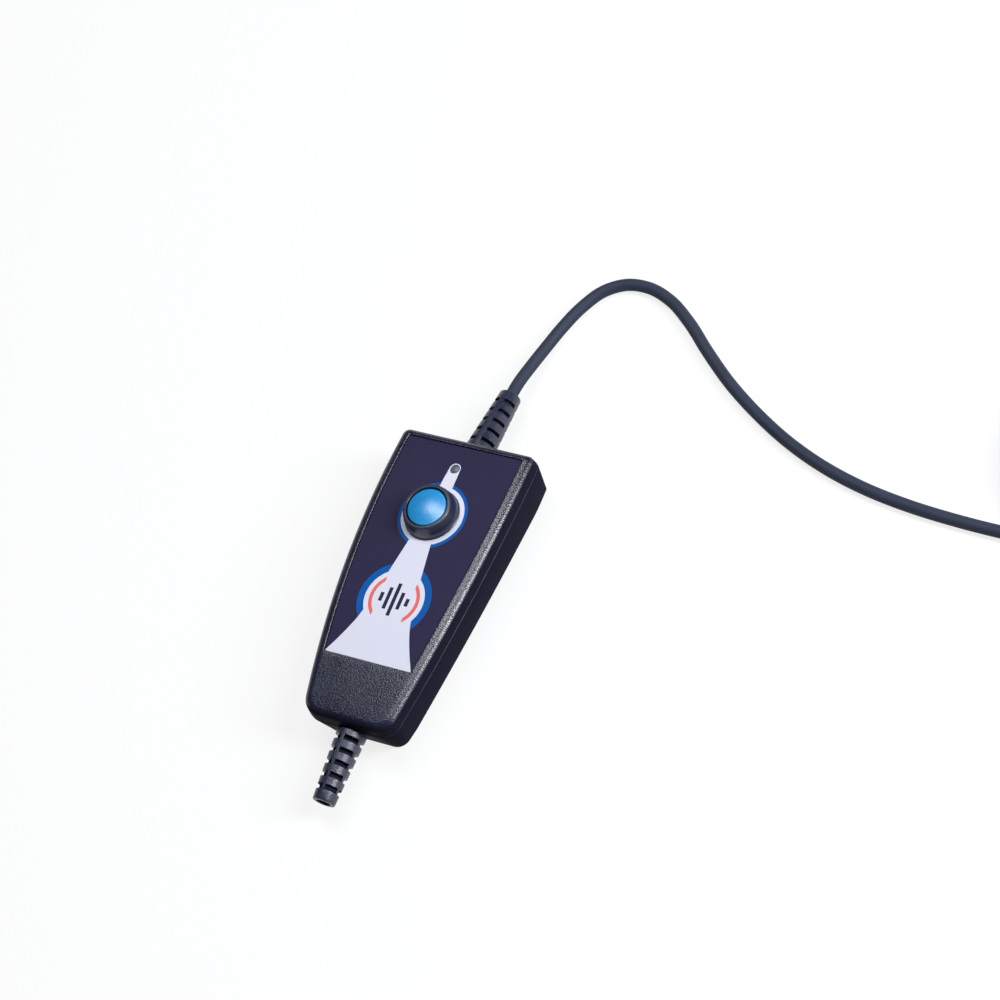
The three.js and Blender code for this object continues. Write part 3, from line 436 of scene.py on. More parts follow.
housing = {
    "halfLength": 50, "widest": 48.4, "footWidth": 31.2, "widestY": 36,
    "headThickness": 20, "footThickness": 18.4, "faceArch": 2.3, "undersideArch": 2.3, "restLength": 10,
    "wall": 2, "faceWall": 2.3, "ceilingFillet": 0.6, "headCorner": 2.6, "footCorner": 6.5, "leastCorner": 0.6,
    "partingDepth": 5.1, "shadowGap": 0.3, "seenGap": 0.46, "frontDraft": 0.35, "headDraft": 1.7,
    "footDraft": 2.2, "lowerEdge": 2, "rimWidth": 3.05, "endRimWidth": 2.05, "rimDrop": 1.8,
    "lipEdge": 0.22, "rearLipEdge": 0.4, "lipHighlightDepths": (0.08, 0.25), "tongueHeight": 1, "tongueWall": 0.7,
    "pocketMouth": 0.22, "pocketEasing": 0.2,
}
sideBow = (housing["widest"] - housing["footWidth"]) / 2 / (housing["widestY"] + housing["halfLength"]) ** 2


def alongShare(y):
    # 0 at the foot's end of the housing, 1 at its head
    return (y + housing["halfLength"]) / (2 * housing["halfLength"])


def face(y):
    # Height of the face: straight between the thicknesses of the ends, with a parabola's arch on top
    ends = mix(housing["footThickness"], housing["headThickness"], alongShare(y))
    return ends + housing["faceArch"] * (1 - (y / housing["halfLength"]) ** 2)


def parting(y):
    # Height of the parting, at the same depth under the face everywhere
    return face(y) - housing["partingDepth"]


def bootSeat(end):
    # Place and turn of a boot: on its end wall, leaning as that wall does, tipped down by its tilt
    direction = end["direction"]
    wallTop = parting(direction * housing["halfLength"]) - housing["shadowGap"] / 2
    lean = end["draft"] * (wallTop - end["height"]) / (wallTop - housing["lowerEdge"])
    turn = -direction * (math.pi / 2) * (1 + end["tilt"])
    place = np.array([0, direction * (housing["halfLength"] - lean), end["height"]])
    cos, sin = math.cos(turn), math.sin(turn)
    return place, np.array([[1, 0, 0], [0, cos, -sin], [0, sin, cos]])


def frameShifted(point):
    # From the housing's own place to the frame's
    return np.asarray(point, float) + (0, shiftY, 0)


def alongBoot(end, distance):
    # Point on a boot's axis at a distance from its seat, in the frame
    place, turn = bootSeat(end)
    return frameShifted(place + turn @ np.array([0, 0, distance]))


def seatOnWall(piece, end):
    # Moves a piece that stands upright on the origin to the seat of a boot
    place, turn = bootSeat(end)
    piece.data.transform(Matrix.Translation((frameShifted(place) * mm).tolist()) @ Matrix(turn.tolist()).to_4x4())


cordFacts = {
    "radius": 2.0, "sides": 20, "spacing": 1.5, "straight": 5, "inBoot": 1.5, "inPlug": 1, "length": 1800,
    "route": [  # millimetres in the frame, the same points as in the part's source
        (0.7, 87.5, 4.6), (1.7, 95, 3), (3.6, 103, 2.3), (7.3, 112.2, 2.2), (12.2, 119.2, 2.2),
        (18.8, 123, 2.2), (26.8, 123.5, 2.2), (35.7, 120.6, 2.2), (44.9, 114.5, 2.2), (55.3, 105.6, 2.2),
        (67.3, 96.2, 2.2), (80, 88.1, 2.2), (93.5, 81, 2.2), (108, 75.3, 2.2), (123, 71.3, 2.2),
        (139, 68.8, 2.2), (156, 67.5, 2.2), (172, 67, 2.4), (184, 66.8, 3)],
    "tail": [(229, 77.9, 7.5), (236.6, 84.2, 5.9), (243.2, 91.2, 4.4)],
}
coil = {
    "centre": (201, 102.85), "outerRadius": 36.15, "pitch": 4.6, "lift": 1.2, "leadIn": (9.0, 4.0),
    "turns": 9 + 1 / 12, "climbTurns": 0.5, "start": -math.pi / 2, "pointsPerTurn": 96,
}
tie = {
    "thickness": 0.9, "width": 7, "room": 0.3, "angle": 0.8 * math.pi, "cornerPower": 5,
    "loopPoints": 120, "sectionPoints": 16, "sectionPowers": (0.3, 0.7),
}
plug = {
    "x": 247.5, "backY": 104, "width": 15.6, "height": 7.8, "length": 25.4, "sides": 48,
    "reliefLength": 12, "reliefRoot": 3.5, "reliefTip": 2.7, "tipEdge": 0.3, "rootEnd": 0.2,
    "grooves": 5, "firstGroove": 1.2, "groovePitch": 2.1,
    "groove": [(0, 0), (0.25, -0.8), (0.75, -0.8), (1, 0.1)],  # distance along, change of diameter
    # distance from the relief or from the front, how much narrower and lower than the whole, corner power
    "shoulder": [(0.1, 4.5, 1.6, 3.2), (0.6, 2, 0.6, 4), (2, 0.5, 0.1, 5), (4, 0, 0, 6), (9, 0, 0, 6),
                 (13, 1.1, 0.5, 6), (18, 0.9, 0.4, 6)],
    "front": [(-1.5, 0.2, 0, 6), (-0.5, 0.3, 0.15, 6), (0, 1.1, 0.9, 6)],
    "shellWidth": 12, "shellHeight": 4.5, "shellLength": 18.8, "shellWall": 0.35, "shellSink": 6,
    "shellPower": 14, "shellEdge": (0.5, 0.25), "shellFloor": 0.3, "socketRoom": 0.25,
    "window": (2.3, 2.6), "windowPlace": (2.9, 7.6),
    "tongueHeight": 1.8, "tongueLength": 12.5, "tongueRoom": 0.3,
    "contactWidth": 1.1, "contactThickness": 0.2, "contactPitch": 2.2, "contactFrom": 1, "contactLift": 0.08,
    "contactShorter": (0.8, 2.2, 2.2, 0.8),
}


def smoothPath(points, spacing):
    # Smooth curve through the points: cubic pieces whose slopes weigh the two neighbouring chords by length
    points = np.asarray(points, float)
    chord = np.diff(points, axis=0)
    span = np.linalg.norm(chord, axis=1, keepdims=True)
    slope = chord / span
    middle = (slope[:-1] * span[1:] + slope[1:] * span[:-1]) / (span[:-1] + span[1:])
    tangent = np.concatenate([slope[:1], middle, slope[-1:]])
    rows = []
    for i in range(len(chord)):
        t = np.linspace(0, 1, max(int(span[i, 0] / spacing), 2), endpoint=False)[:, None]
        rows.append(
            points[i] * (2 * t**3 - 3 * t**2 + 1) + points[i + 1] * (3 * t**2 - 2 * t**3)
            + span[i] * (tangent[i] * (t**3 - 2 * t**2 + t) + tangent[i + 1] * (t**3 - t**2)))
    return np.concatenate([*rows, points[-1:]])


def coilPath():
    # Spiral in on the lower layer, climb half a turn where it reverses, spiral out on the upper layer
    turns, climbTurns = coil["turns"], coil["climbTurns"]
    turn = np.linspace(0, turns, int(round(turns * coil["pointsPerTurn"])) + 1)
    radius = coil["outerRadius"] - coil["pitch"] * np.minimum(turn, turns - turn)
    climb = np.clip((turn - turns / 2 + climbTurns / 2) / climbTurns, 0, 1)
    height = coil["lift"] + cordFacts["radius"] + coil["pitch"] * climb**2 * (3 - 2 * climb)
    angle = coil["start"] + turn * 2 * math.pi
    x = coil["centre"][0] + radius * np.cos(angle)
    y = coil["centre"][1] + radius * np.sin(angle)
    return np.stack([x, y, height], -1)


def headingAt(angle):
    # Way forward on a circle, square to its radius
    return np.array([-math.sin(angle), math.cos(angle), 0])


def cordPath():
    # Straight out of the boot, along the route into the coil, and from the coil by the tail into the plug
    wound = coilPath()
    inward = headingAt(coil["start"])
    outward = headingAt(coil["start"] + coil["turns"] * 2 * math.pi)
    start = alongBoot(boots["head"], boots["length"] - cordFacts["inBoot"])
    straight = alongBoot(boots["head"], boots["length"] + cordFacts["straight"])
    far, near = coil["leadIn"]
    first = [start, straight, *cordFacts["route"], wound[0] - inward * far, wound[0] - inward * near]
    x, y, height = plug["x"], plug["backY"], plug["height"] / 2
    last = [wound[-1] + outward * near, *cordFacts["tail"],
            (x, y - cordFacts["straight"], height), (x, y + cordFacts["inPlug"], height)]
    spacing = cordFacts["spacing"]
    return np.concatenate([smoothPath(first, spacing), wound, smoothPath(last, spacing)])


def cordLead():
    # A circle carried along the path, between a level line across it and the line square to both
    path, sides = cordPath(), cordFacts["sides"]
    tangent = np.gradient(path, axis=0)
    tangent /= np.linalg.norm(tangent, axis=1, keepdims=True)
    across = np.cross(tangent, (0, 0, 1))
    across /= np.linalg.norm(across, axis=1, keepdims=True)
    over = np.cross(across, tangent)
    width, height = (cordFacts["radius"] * wave(aroundCircle(sides))[:, None] for wave in (np.cos, np.sin))
    points = path[:, None] + across[:, None] * width + over[:, None] * height
    ends = [list(range(sides)), list(range((len(path) - 1) * sides, len(path) * sides))]
    piece = meshObject("cordLead", points, [*gridQuads(len(path), sides), *ends], moveIn=False)
    return finishPiece(piece, "extrudedPvc", nodes=("cord", "cord_coil", "cord_tail")), path


lead, leadPath = cordLead()
leadLength = np.linalg.norm(np.diff(leadPath, axis=0), axis=1).sum()
print("cord made, length", round(float(leadLength), 1), "mm")


def tieStrap():
    # A flat band whose loop is a rounded rectangle round the bundle
    inner = coil["outerRadius"] - coil["pitch"] * coil["turns"] / 2 - cordFacts["radius"] - tie["room"]
    outer = coil["outerRadius"] + cordFacts["radius"] + tie["room"]
    low = coil["lift"] - tie["room"] - tie["thickness"]
    high = coil["lift"] + 2 * coil["pitch"] + tie["room"] + tie["thickness"]
    half = np.array([(outer - inner) / 2 + tie["thickness"], (high - low) / 2])
    angle = aroundCircle(tie["loopPoints"])
    power = 2 / tie["cornerPower"]
    unit = np.stack([squared(np.cos(angle), power), squared(np.sin(angle), power)], -1)
    tangent = np.roll(unit * half, -1, axis=0) - np.roll(unit * half, 1, axis=0)
    normal = np.stack([tangent[:, 1], -tangent[:, 0]], -1)
    normal /= np.linalg.norm(normal, axis=1, keepdims=True)
    section = aroundCircle(tie["sectionPoints"])
    flatPower, thickPower = tie["sectionPowers"]
    flat = squared(np.cos(section), flatPower) * tie["width"] / 2
    thick = (squared(np.sin(section), thickPower) - 1) * tie["thickness"] / 2
    loop = unit[:, None] * half + normal[:, None] * thick[None, :, None]
    along = loop[..., 0] + (inner + outer) / 2
    cos, sin = math.cos(tie["angle"]), math.sin(tie["angle"])
    x = coil["centre"][0] + along * cos - flat * sin
    y = coil["centre"][1] + along * sin + flat * cos
    z = loop[..., 1] + (low + high) / 2
    points = np.stack([x, y, z], -1)
    piece = meshObject("tieStrap", points, gridQuads(len(unit), len(section), True), moveIn=False)
    return finishPiece(piece, "wovenNylon", nodes=("cord_tie",))


def laidLoft(name, rows):
    # Sections along Y at the plug's axis: each row is a distance, a width, a height and a corner power, and
    # its section is an oval whose cosine and sine are raised to 2 over that power
    sides = plug["sides"]
    angle = aroundCircle(sides)
    points = []
    for y, width, height, power in rows:
        x, z = squared(np.cos(angle), 2 / power) * width / 2, squared(np.sin(angle), 2 / power) * height / 2
        points.append(np.stack([plug["x"] + x, np.full(sides, float(y)), plug["height"] / 2 + z], -1))
    ends = [list(range(sides)), list(range((len(rows) - 1) * sides, len(rows) * sides))]
    return meshObject(name, np.concatenate(points), [*gridQuads(len(rows), sides), *ends], moveIn=False)


def plugOvermould(body, front):
    # The grooved strain relief widens into the grip, whose front holds a socket for the shell
    p, back, width, height = plug, plug["backY"], plug["width"], plug["height"]
    root, tip = 2 * p["reliefRoot"], 2 * p["reliefTip"]
    ends = tip - 2 * p["tipEdge"]
    rows = [(back, ends, ends, 2), (back + p["tipEdge"], tip, tip, 2)]
    for i in range(p["grooves"]):
        y = back + p["firstGroove"] + i * p["groovePitch"]
        size = mix(tip, root, (y - back) / p["reliefLength"])
        rows += [(y + away, size + change, size + change, 2) for away, change in p["groove"]]
    rows.append((body - p["rootEnd"], root, root, 2))
    for start, form in ((body, p["shoulder"]), (front, p["front"])):
        rows += [(start + away, width - narrower, height - lower, power) for away, narrower, lower, power in form]
    overmould = laidLoft("plugOvermould", rows)
    room = 2 * p["socketRoom"]
    carve(overmould, blockTool("socket", p["shellWidth"] + room, 2 * p["shellSink"], p["shellHeight"] + room,
                               (p["x"], front, height / 2)))
    return finishPiece(overmould, "mouldedPvc", nodes=("plug_body",))


def plugShell(front):
    # A flat tube of sheet metal with two windows through it
    p = plug
    start, end = front - p["shellSink"] + p["shellFloor"], front + p["shellLength"]
    wide, high, power = p["shellWidth"], p["shellHeight"], p["shellPower"]
    clearWide, clearHigh = wide - 2 * p["shellWall"], high - 2 * p["shellWall"]
    edge, taper = p["shellEdge"]
    shell = laidLoft("plugShell", [
        (start, wide, high, power), (end - edge, wide, high, power), (end, wide - taper, high - taper, power)])
    hollow = laidLoft("hollow", [
        (start - 1, clearWide, clearHigh, power), (end + 1, clearWide, clearHigh, power)])
    aside, ahead = p["windowPlace"]
    windows = []
    for side in (-1, 1):
        centre = (p["x"] + side * aside, front + ahead, p["height"] / 2)
        windows.append(blockTool(f"window{side}", *p["window"], 3 * high, centre))
    carve(shell, hollow, *windows)
    return finishPiece(shell, "nickelSheet", nodes=("plug_shell",))


def plugContacts(front):
    # Four bars that lie on the tongue, the outer two longer
    p = plug
    drop = p["shellHeight"] / 2 - p["shellWall"] - p["tongueRoom"]
    height = p["height"] / 2 - drop + p["tongueHeight"] + p["contactLift"]
    bars = []
    for i, shorter in enumerate(p["contactShorter"]):
        length = p["tongueLength"] - shorter - p["contactFrom"]
        centre = (p["x"] + (i - 1.5) * p["contactPitch"], front + p["contactFrom"] + length / 2, height)
        bars.append(blockTool(f"contact{i}", p["contactWidth"], length, p["contactThickness"], centre))
    carve(bars[0], *bars[1:], operation="UNION")
    bars[0].name = "plugContacts"
    return finishPiece(bars[0], "goldFlash")


strap = tieStrap()
gripStart = plug["backY"] + plug["reliefLength"]
gripEnd = gripStart + plug["length"]
plugPieces = [plugOvermould(gripStart, gripEnd), plugShell(gripEnd), plugContacts(gripEnd)]
print("plug and tie made")


# Housing: outlines of the arched, tapering box
rowCounts = {"corner": 10, "side": 44, "lip": 4, "rim": 14, "lowerEdge": 7, "pocket": 5}
throughFace = (10, 30)  # heights between which a tool passes the whole face


def constant(value):
    # The same value at every y
    return lambda y: np.full_like(y, value, dtype=float)


def lift(height, extra):
    # A height(y) raised by the same amount everywhere
    return lambda y: height(y) + extra


def rearDraft(y):
    # How far the rear cover's wall leans in by its foot, changing steadily from end to end
    return mix(housing["footDraft"], housing["headDraft"], alongShare(y))


def halfWidth(y):
    # The widest half less a constant times the square of the distance from the widest place
    return housing["widest"] / 2 - sideBow * (housing["widestY"] - y) ** 2


def outline(side, head, foot):
    # Right half of the box's outline, drawn in by side(y), head and foot: two corner arcs and a bowed side
    def arc(inset, corner, direction):
        radius = max(corner - inset, housing["leastCorner"])
        y = np.array(direction * (housing["halfLength"] - inset - radius))
        slope = 2 * sideBow * (housing["widestY"] - y)
        sideAngle = math.atan2(-slope, 1)
        x = halfWidth(y) - side(y) - radius * math.hypot(1, slope)
        first, last = (math.pi / 2, sideAngle) if direction > 0 else (sideAngle, -math.pi / 2)
        angle = np.linspace(first, last, rowCounts["corner"] + 1)
        return np.stack([x + radius * np.cos(angle), y + radius * np.sin(angle)], -1)

    headArc = arc(head, housing["headCorner"], 1)
    footArc = arc(foot, housing["footCorner"], -1)
    y = np.linspace(headArc[-1, 1], footArc[0, 1], rowCounts["side"] + 1)[1:-1]
    return np.concatenate([headArc, np.stack([halfWidth(y) - side(y), y], -1), footArc])


def ringOf(side, head, foot, height):
    # The outline and its mirror image as one ring, raised to height(y)
    right = outline(side, head, foot)
    whole = np.concatenate([right, right[::-1] * (-1, 1)])
    return np.column_stack([whole, height(whole[:, 1])])


def even(inset, height, ends=None):
    # A ring drawn in by the same inset all round, or by another one at the ends
    return ringOf(constant(inset), inset if ends is None else ends, inset if ends is None else ends, height)


def drafted(share, inset, height):
    # A ring drawn in by an inset and by a share of the rear cover's draft
    return ringOf(lambda y: share * rearDraft(y) + inset,
                  share * housing["headDraft"] + inset, share * housing["footDraft"] + inset, height)


def shellObject(name, rings):
    # Rings joined by quads, both ends closed by rows of quads from side to side
    rings = np.stack(rings)
    count, around = rings.shape[:2]
    i = np.arange(around // 2 - 1)
    low = np.stack([i, around - 1 - i, around - 2 - i, i + 1], -1)
    high = low[:, ::-1] + (count - 1) * around
    return meshObject(name, rings, [*low, *gridQuads(count, around), *high])


def underside(y):
    # A shallow parabola's arch between the two flat rests
    archHalf = housing["halfLength"] - housing["restLength"]
    return np.maximum(0, housing["undersideArch"] * (1 - (y / archHalf) ** 2))


screws = {
    "rows": (40, -39.5), "inset": 8.3, "bossRadius": 4.2, "boss": (1.2, 6),
    "recessRadius": 2.9, "recess": (-1, 4), "holeRadius": 1.55, "hole": (0, 7),
}
screwPlaces = [(side * (halfWidth(y) - screws["inset"]), y) for y in screws["rows"] for side in (1, -1)]
button = {
    "y": 21.95, "baseRadius": 9.08, "rimRadius": 7.85, "rise": 5.7, "floor": 1.05, "neckRadius": 5.5,
    "room": 0.3, "bezelSides": 128, "flangeUnder": 0.3, "footTop": 0.55, "footEdge": 0.3,
    "waist": (0.32, 0.48), "waistRounding": 5, "rimRounding": 0.45, "follow": (0.8, 2),
    "capRadius": 6.4, "capSetDown": 0.25, "capDome": 1.0, "capEdge": 0.45, "capSides": 96, "capInside": 1,
    "skirtDepth": 2.6, "skirtWall": 1.1, "stemRadius": 2.3, "stemFoot": 14, "nutTop": 18.6, "neckReach": 3.2,
}
label = {
    "side": 3.6, "head": 2.8, "foot": 20.4, "thickness": 0.3, "recess": 0.35, "edge": 0.08, "hole": 1.65,
    "lampY": 39.1, "clearance": 0.15, "bedding": 0.05, "coverHole": 1.85,
}
holeRadius = button["neckRadius"] + button["room"]


def bootHole(end, name):
    # A bar along the boot's axis, through the end wall
    reach = boots["holeReach"]
    tool = barTool(name, boots["neckRadius"] + boots["holeRoom"], -reach, reach, 0, 0, moveIn=False)
    seatOnWall(tool, end)
    return tool


def labelRing(inset, height):
    # A ring round the label, drawn in by an inset, at a height from the face
    side, head, foot = (label[key] + inset for key in ("side", "head", "foot"))
    return ringOf(constant(side), head, foot, lift(face, height))


def labelPocket():
    # The space that the label lies in: straight walls under a rounded mouth that runs out over the face
    mouth, easing = housing["pocketMouth"], housing["pocketEasing"]
    rows = [(0, -label["recess"] - label["thickness"] - label["bedding"])]
    rows += [(mouth * (1 - math.cos(angle)), -easing * (1 - math.sin(angle)))
             for angle in quarterTurn(rowCounts["pocket"])]
    rows.append((mouth + 0.02, 2))
    return shellObject("pocket", [labelRing(-label["clearance"] - outwards, height) for outwards, height in rows])


def frontShell():
    # Rings from the ceiling down the inside, round the lip at the parting, up the wall and over the rim
    h = housing
    lip, gap, draft, fillet = h["lipEdge"], h["seenGap"] / 2, h["frontDraft"], h["ceilingFillet"]
    ceiling = lift(face, -h["faceWall"])
    rings = [
        even(h["wall"] + draft + fillet, ceiling),
        even(h["wall"] + draft, lift(ceiling, -fillet)),
        even(h["wall"], lift(parting, gap)),
    ]
    for angle in quarterTurn(rowCounts["lip"]):  # small rounded edge at the parting
        rings.append(even(lip * (1 - math.sin(angle)), lift(parting, gap + lip * (1 - math.cos(angle)))))
    for angle in quarterTurn(rowCounts["rim"]):  # the rim: a quarter of an ellipse, from the wall to the face
        share, drop = 1 - math.cos(angle), h["rimDrop"] * (1 - math.sin(angle))
        rings.append(even(draft + h["rimWidth"] * share, lift(face, -drop), draft + h["endRimWidth"] * share))
    shell = shellObject("frontShell", rings)
    carve(shell, labelPocket(),
          barTool("buttonHole", holeRadius, *throughFace, 0, button["y"]),
          barTool("lampHole", label["coverHole"], *throughFace, 0, label["lampY"], 32),
          bootHole(boots["head"], "headHole"), bootHole(boots["foot"], "footHole"))
    finishPiece(shell, "sparkGrainAbs", sharp=28, nodes=("front_cover",))
    return splitFinish(shell)


def rearShell():
    # Rings from the bottom edge up the drafted wall to its lip, over the tongue and down the inside
    h = housing
    gap, edge, lip, wall = h["seenGap"] / 2, h["lowerEdge"], h["rearLipEdge"], h["wall"]
    rings = []
    for angle in quarterTurn(rowCounts["lowerEdge"]):  # rounded bottom edge
        rings.append(drafted(1, edge * (1 - math.sin(angle)), lift(underside, edge * (1 - math.cos(angle)))))
    for angle in quarterTurn(rowCounts["lip"]):  # small rounded edge at the parting
        rings.append(drafted(0, lip * (1 - math.cos(angle)), lift(parting, -gap - lip * (1 - math.sin(angle)))))
    tongueInset = wall - h["tongueWall"]
    floor = lift(underside, wall)
    rings += [
        even(tongueInset, lift(parting, -gap)),
        even(tongueInset, lift(parting, h["tongueHeight"])),
        even(wall, lift(parting, h["tongueHeight"])),
        even(wall, lift(parting, -h["tongueHeight"])),
        drafted(1, wall, lift(floor, edge / 2)),
        drafted(1, wall + edge / 2, floor),
    ]
    shell = shellObject("rearShell", rings)

    def atScrews(name, radius, heights, segments=48):
        return [barTool(f"{name}{i}", radius, *heights, x, y, segments) for i, (x, y) in enumerate(screwPlaces)]

    carve(shell, *atScrews("boss", screws["bossRadius"], screws["boss"]), operation="UNION")
    carve(shell, *atScrews("recess", screws["recessRadius"], screws["recess"]),
          *atScrews("hole", screws["holeRadius"], screws["hole"], 24),
          bootHole(boots["head"], "headHole"), bootHole(boots["foot"], "footHole"))
    finishPiece(shell, "sparkGrainAbs", sharp=28, nodes=("rear_cover",))
    # the rear lip's upward faces between these depths get the painted highlight of the parting line
    return splitFinish(shell, [gap + depth for depth in h["lipHighlightDepths"]])


frontShell()
rearShell()
print("housing shells made")


# Label with its print, worked out on the label's own millimetres
prints = {
    "ground": "#2A2542", "groundPaler": "#2F2A4A", "pale": "#E3E3F1", "blue": "#0058AA", "coral": "#F0706C",
    "roughness": 0.5, "specular": 0.12, "ior": 1.58, "slowPatch": 20, "softGrain": 0.35, "grainDepth": 0.006,
    "buttonRing": (21.95, 11.62, 10.5), "emblemRing": (-8.31, 12.47, 10.17),
    "lampStrip": {"top": (39.1, 1.95), "bottom": (32.0, 2.3)},
    "upperFlare": {"top": (12.0, 3.95), "bottom": (0.6, 5.75)},
    "lowerFlare": {"top": (-13.5, 8.6), "bottom": (-29.6, 15.6), "power": 1.3},
    "pastLabel": -40, "overlap": 0.01,
    "bars": [(-4.6, 1.5), (-2.3, 3.7), (0, 5.6), (2.3, 2.9), (4.6, 1.3)], "barHalfWidth": 0.62,
    "arcs": (7.4, 8.6), "arcFrom": 5.4,
}


def printedLabel():
    # screen-printed polycarbonate film: flat colours under a fine velvet finish, satin and slightly sparkling
    material, tree, shader, place = startMaterial("printedPolycarbonate", prints["roughness"], ior=prints["ior"])
    shader.inputs["Specular IOR Level"].default_value = prints["specular"]
    scaled = addNode(tree, "Mapping", {
        "Vector": place, "Location": (0, -shiftY, 0), "Scale": (1 / mm, 1 / mm, 0)})
    parts = addNode(tree, "SeparateXYZ", {0: scaled.outputs[0]})
    y = parts.outputs[1]
    side = addNode(tree, "Math", {0: parts.outputs[0]}, operation="ABSOLUTE").outputs[0]

    def within(centreY, radius):
        # 1 inside a circle on the middle line
        away = addNode(tree, "VectorMath", {0: scaled.outputs[0], 1: (0, centreY, 0)}, operation="DISTANCE")
        return addNode(tree, "Math", {0: away.outputs["Value"], 1: radius}, operation="LESS_THAN").outputs[0]

    def strip(ends, low, high):
        # 1 where the distance from the middle line is under a half width that changes steadily with y
        (topY, topHalf), (bottomY, bottomHalf) = ends["top"], ends["bottom"]
        share = addNode(tree, "MapRange", {"Value": y, "From Min": topY, "From Max": bottomY}, clamp=False)
        bent = addNode(tree, "Math", {0: share.outputs[0], 1: ends.get("power", 1.0)}, operation="POWER")
        half = addNode(tree, "Math", {0: bent.outputs[0], 1: bottomHalf - topHalf, 2: topHalf},
                       operation="MULTIPLY_ADD")
        inside = addNode(tree, "Math", {0: side, 1: half.outputs[0]}, operation="LESS_THAN")
        above = addNode(tree, "Math", {0: y, 1: low}, operation="GREATER_THAN")
        below = addNode(tree, "Math", {0: y, 1: high}, operation="LESS_THAN")
        both = addNode(tree, "Math", {0: above.outputs[0], 1: below.outputs[0]}, operation="MULTIPLY")
        return addNode(tree, "Math", {0: inside.outputs[0], 1: both.outputs[0]}, operation="MULTIPLY").outputs[0]

    def anyOf(masks):
        # 1 where any of the masks is
        whole = masks[0]
        for mask in masks[1:]:
            whole = addNode(tree, "Math", {0: whole, 1: mask}, operation="MAXIMUM").outputs[0]
        return whole

    ringY, ringOuter, ringInner = prints["buttonRing"]
    emblemY, emblemOuter, emblemInner = prints["emblemRing"]
    blue = anyOf([within(ringY, ringOuter), within(emblemY, emblemOuter)])
    lampY, lampHalf = prints["lampStrip"]["top"]
    pale = anyOf([
        within(ringY, ringInner), within(emblemY, emblemInner), within(lampY, lampHalf),
        strip(prints["lampStrip"], ringY, lampY),
        strip(prints["upperFlare"], emblemY, ringY),
        strip(prints["lowerFlare"], prints["pastLabel"], prints["lowerFlare"]["top"][0] + prints["overlap"])])

    bars = []
    for x, half in prints["bars"]:  # a generic sound pattern: upright bars of unlike heights
        shifted = addNode(tree, "VectorMath", {0: scaled.outputs[0], 1: (x, emblemY, 0)}, operation="SUBTRACT")
        apart = addNode(tree, "VectorMath", {0: shifted.outputs[0]}, operation="ABSOLUTE")
        split = addNode(tree, "SeparateXYZ", {0: apart.outputs[0]})
        thin = addNode(tree, "Math", {0: split.outputs[0], 1: prints["barHalfWidth"]}, operation="LESS_THAN")
        short = addNode(tree, "Math", {0: split.outputs[1], 1: half}, operation="LESS_THAN")
        bar = addNode(tree, "Math", {0: thin.outputs[0], 1: short.outputs[0]}, operation="MULTIPLY")
        bars.append(bar.outputs[0])
    innerArc, outerArc = prints["arcs"]
    beyond = addNode(tree, "Math", {0: within(emblemY, outerArc), 1: within(emblemY, innerArc)},
                     operation="SUBTRACT")
    outwards = addNode(tree, "Math", {0: side, 1: prints["arcFrom"]}, operation="GREATER_THAN")
    arcs = addNode(tree, "Math", {0: beyond.outputs[0], 1: outwards.outputs[0]}, operation="MULTIPLY")

    slow = addNode(tree, "TexNoise", {"Vector": place, "Scale": 1 / (prints["slowPatch"] * mm), "Detail": 2.0})
    colour = addNode(tree, "Mix", {
        0: slow.outputs[0], 6: linear(prints["ground"]), 7: linear(prints["groundPaler"])},
        data_type="RGBA").outputs[2]
    layers = ((blue, "blue"), (pale, "pale"), (arcs.outputs[0], "coral"), (anyOf(bars), "ground"))
    for mask, ink in layers:
        colour = addNode(tree, "Mix", {0: mask, 6: colour, 7: linear(prints[ink])}, data_type="RGBA").outputs[2]
    tree.links.new(colour, shader.inputs["Base Color"])
    fine = addNode(tree, "TexNoise", {"Vector": place, "Scale": 1 / (prints["softGrain"] * mm), "Detail": 1.0})
    relief = addNode(tree, "Bump", {
        "Strength": 1.0, "Distance": prints["grainDepth"] * mm, "Height": fine.outputs[0]})
    tree.links.new(relief.outputs[0], shader.inputs["Normal"])
    return material


finishes["printedPolycarbonate"] = printedLabel()


def labelPlate():
    # The film follows the face's arch, with a fine bevel round its top
    top, edge = -label["recess"], label["edge"]
    rings = [labelRing(inset, top - depth) for inset, depth in ((0, label["thickness"]), (0, edge), (edge, 0))]
    plate = shellObject("labelPlate", rings)
    carve(plate, barTool("buttonHole", holeRadius, *throughFace, 0, button["y"]),
          barTool("lampHole", label["hole"], *throughFace, 0, label["lampY"]))
    return finishPiece(plate, "printedPolycarbonate", nodes=("front_label",))


labelPlate()
print("label made")


# Push button: conical bezel seated on the arched label, domed cap, lamp
def labelTop(y):
    # Height of the label's top on the middle line
    return face(y) - label["recess"]


